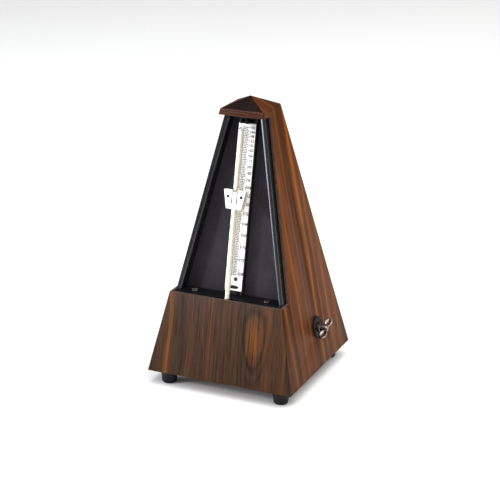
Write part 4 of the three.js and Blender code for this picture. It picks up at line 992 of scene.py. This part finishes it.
sweep_mesh = bpy.data.meshes.new("pale_floor")
sweep_mesh.from_pydata([(-9, -9, 0), (9, -9, 0), (9, 9, 0), (-9, 9, 0)], [], [(0, 1, 2, 3)])
sweep = bpy.data.objects.new("pale_floor", sweep_mesh)
bpy.context.scene.collection.objects.link(sweep)
# Matt paper: it takes the soft shadows and gives nothing back but white.
paper, tree, shader = finish("matt_white_paper", roughness=0.95, base_color=linear("#fafaf9"))
sweep_mesh.materials.append(paper)

world = bpy.data.worlds.new("white_studio")
world.use_nodes = True
WORLD_STRENGTH = 0.38
background = world.node_tree.nodes["Background"]
background.inputs["Color"].default_value = linear("#ffffff")
background.inputs["Strength"].default_value = WORLD_STRENGTH
bpy.context.scene.world = world
bpy.context.scene.view_settings.view_transform = "Standard"
bpy.context.scene.view_settings.gamma = 0.87

case_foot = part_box("lower_front_panel")[0].z
TARGET_HIGH = 110.94 * mm
target = np.array([plate_middle, 0, case_foot + TARGET_HIGH])


def lamp(name, azimuth, elevation, distance, size, watts, tint="#ffffff"):
    """A soft lamp, wide and tall, at an angle round and above the object, facing it."""
    turn, lift = math.radians(azimuth), math.radians(elevation)
    away = np.array([math.sin(turn) * math.cos(lift), -math.cos(turn) * math.cos(lift), math.sin(lift)])
    light = bpy.data.lights.new(name, "AREA")
    light.shape = "RECTANGLE"
    light.size, light.size_y = size
    light.energy = watts
    light.color = linear(tint)[:3]
    made = bpy.data.objects.new(name, light)
    bpy.context.scene.collection.objects.link(made)
    made.location = target + away * distance
    made.rotation_euler = (math.pi / 2 - lift, 0, turn)


lamp("overhead_softbox", 70, 66, 2.4, (3.4, 3.0), 92)
lamp("left_strip", -58, 6, 1.4, (0.9, 0.6), 15, "#e4ecff")
lamp("key_lamp", -48, 22, 1.6, (0.14, 0.14), 8)
lamp("right_fill", 60, 22, 2.0, (0.8, 0.8), 4)

CAMERA_AZIMUTH = math.radians(24.44)
CAMERA_ELEVATION = math.radians(19.63)
CAMERA_DISTANCE = 1150.8 * mm
CAMERA_SHIFT = -0.383 * mm
CAMERA_DROP = -23.17 * mm
LENS = 109.87
SENSOR = 36
right = np.array([math.cos(CAMERA_AZIMUTH), math.sin(CAMERA_AZIMUTH), 0])
back = np.array([
    math.sin(CAMERA_AZIMUTH) * math.cos(CAMERA_ELEVATION),
    -math.cos(CAMERA_AZIMUTH) * math.cos(CAMERA_ELEVATION),
    math.sin(CAMERA_ELEVATION),
])
top = np.cross(back, right)
camera = bpy.data.objects.new("camera", bpy.data.cameras.new("camera"))
bpy.context.scene.collection.objects.link(camera)
camera.data.lens = LENS
camera.data.sensor_width = SENSOR
camera.data.clip_end = 30
camera.location = target + right * CAMERA_SHIFT + top * CAMERA_DROP + back * CAMERA_DISTANCE
camera.rotation_euler = (math.pi / 2 - CAMERA_ELEVATION, 0, CAMERA_AZIMUTH)
bpy.context.scene.camera = camera
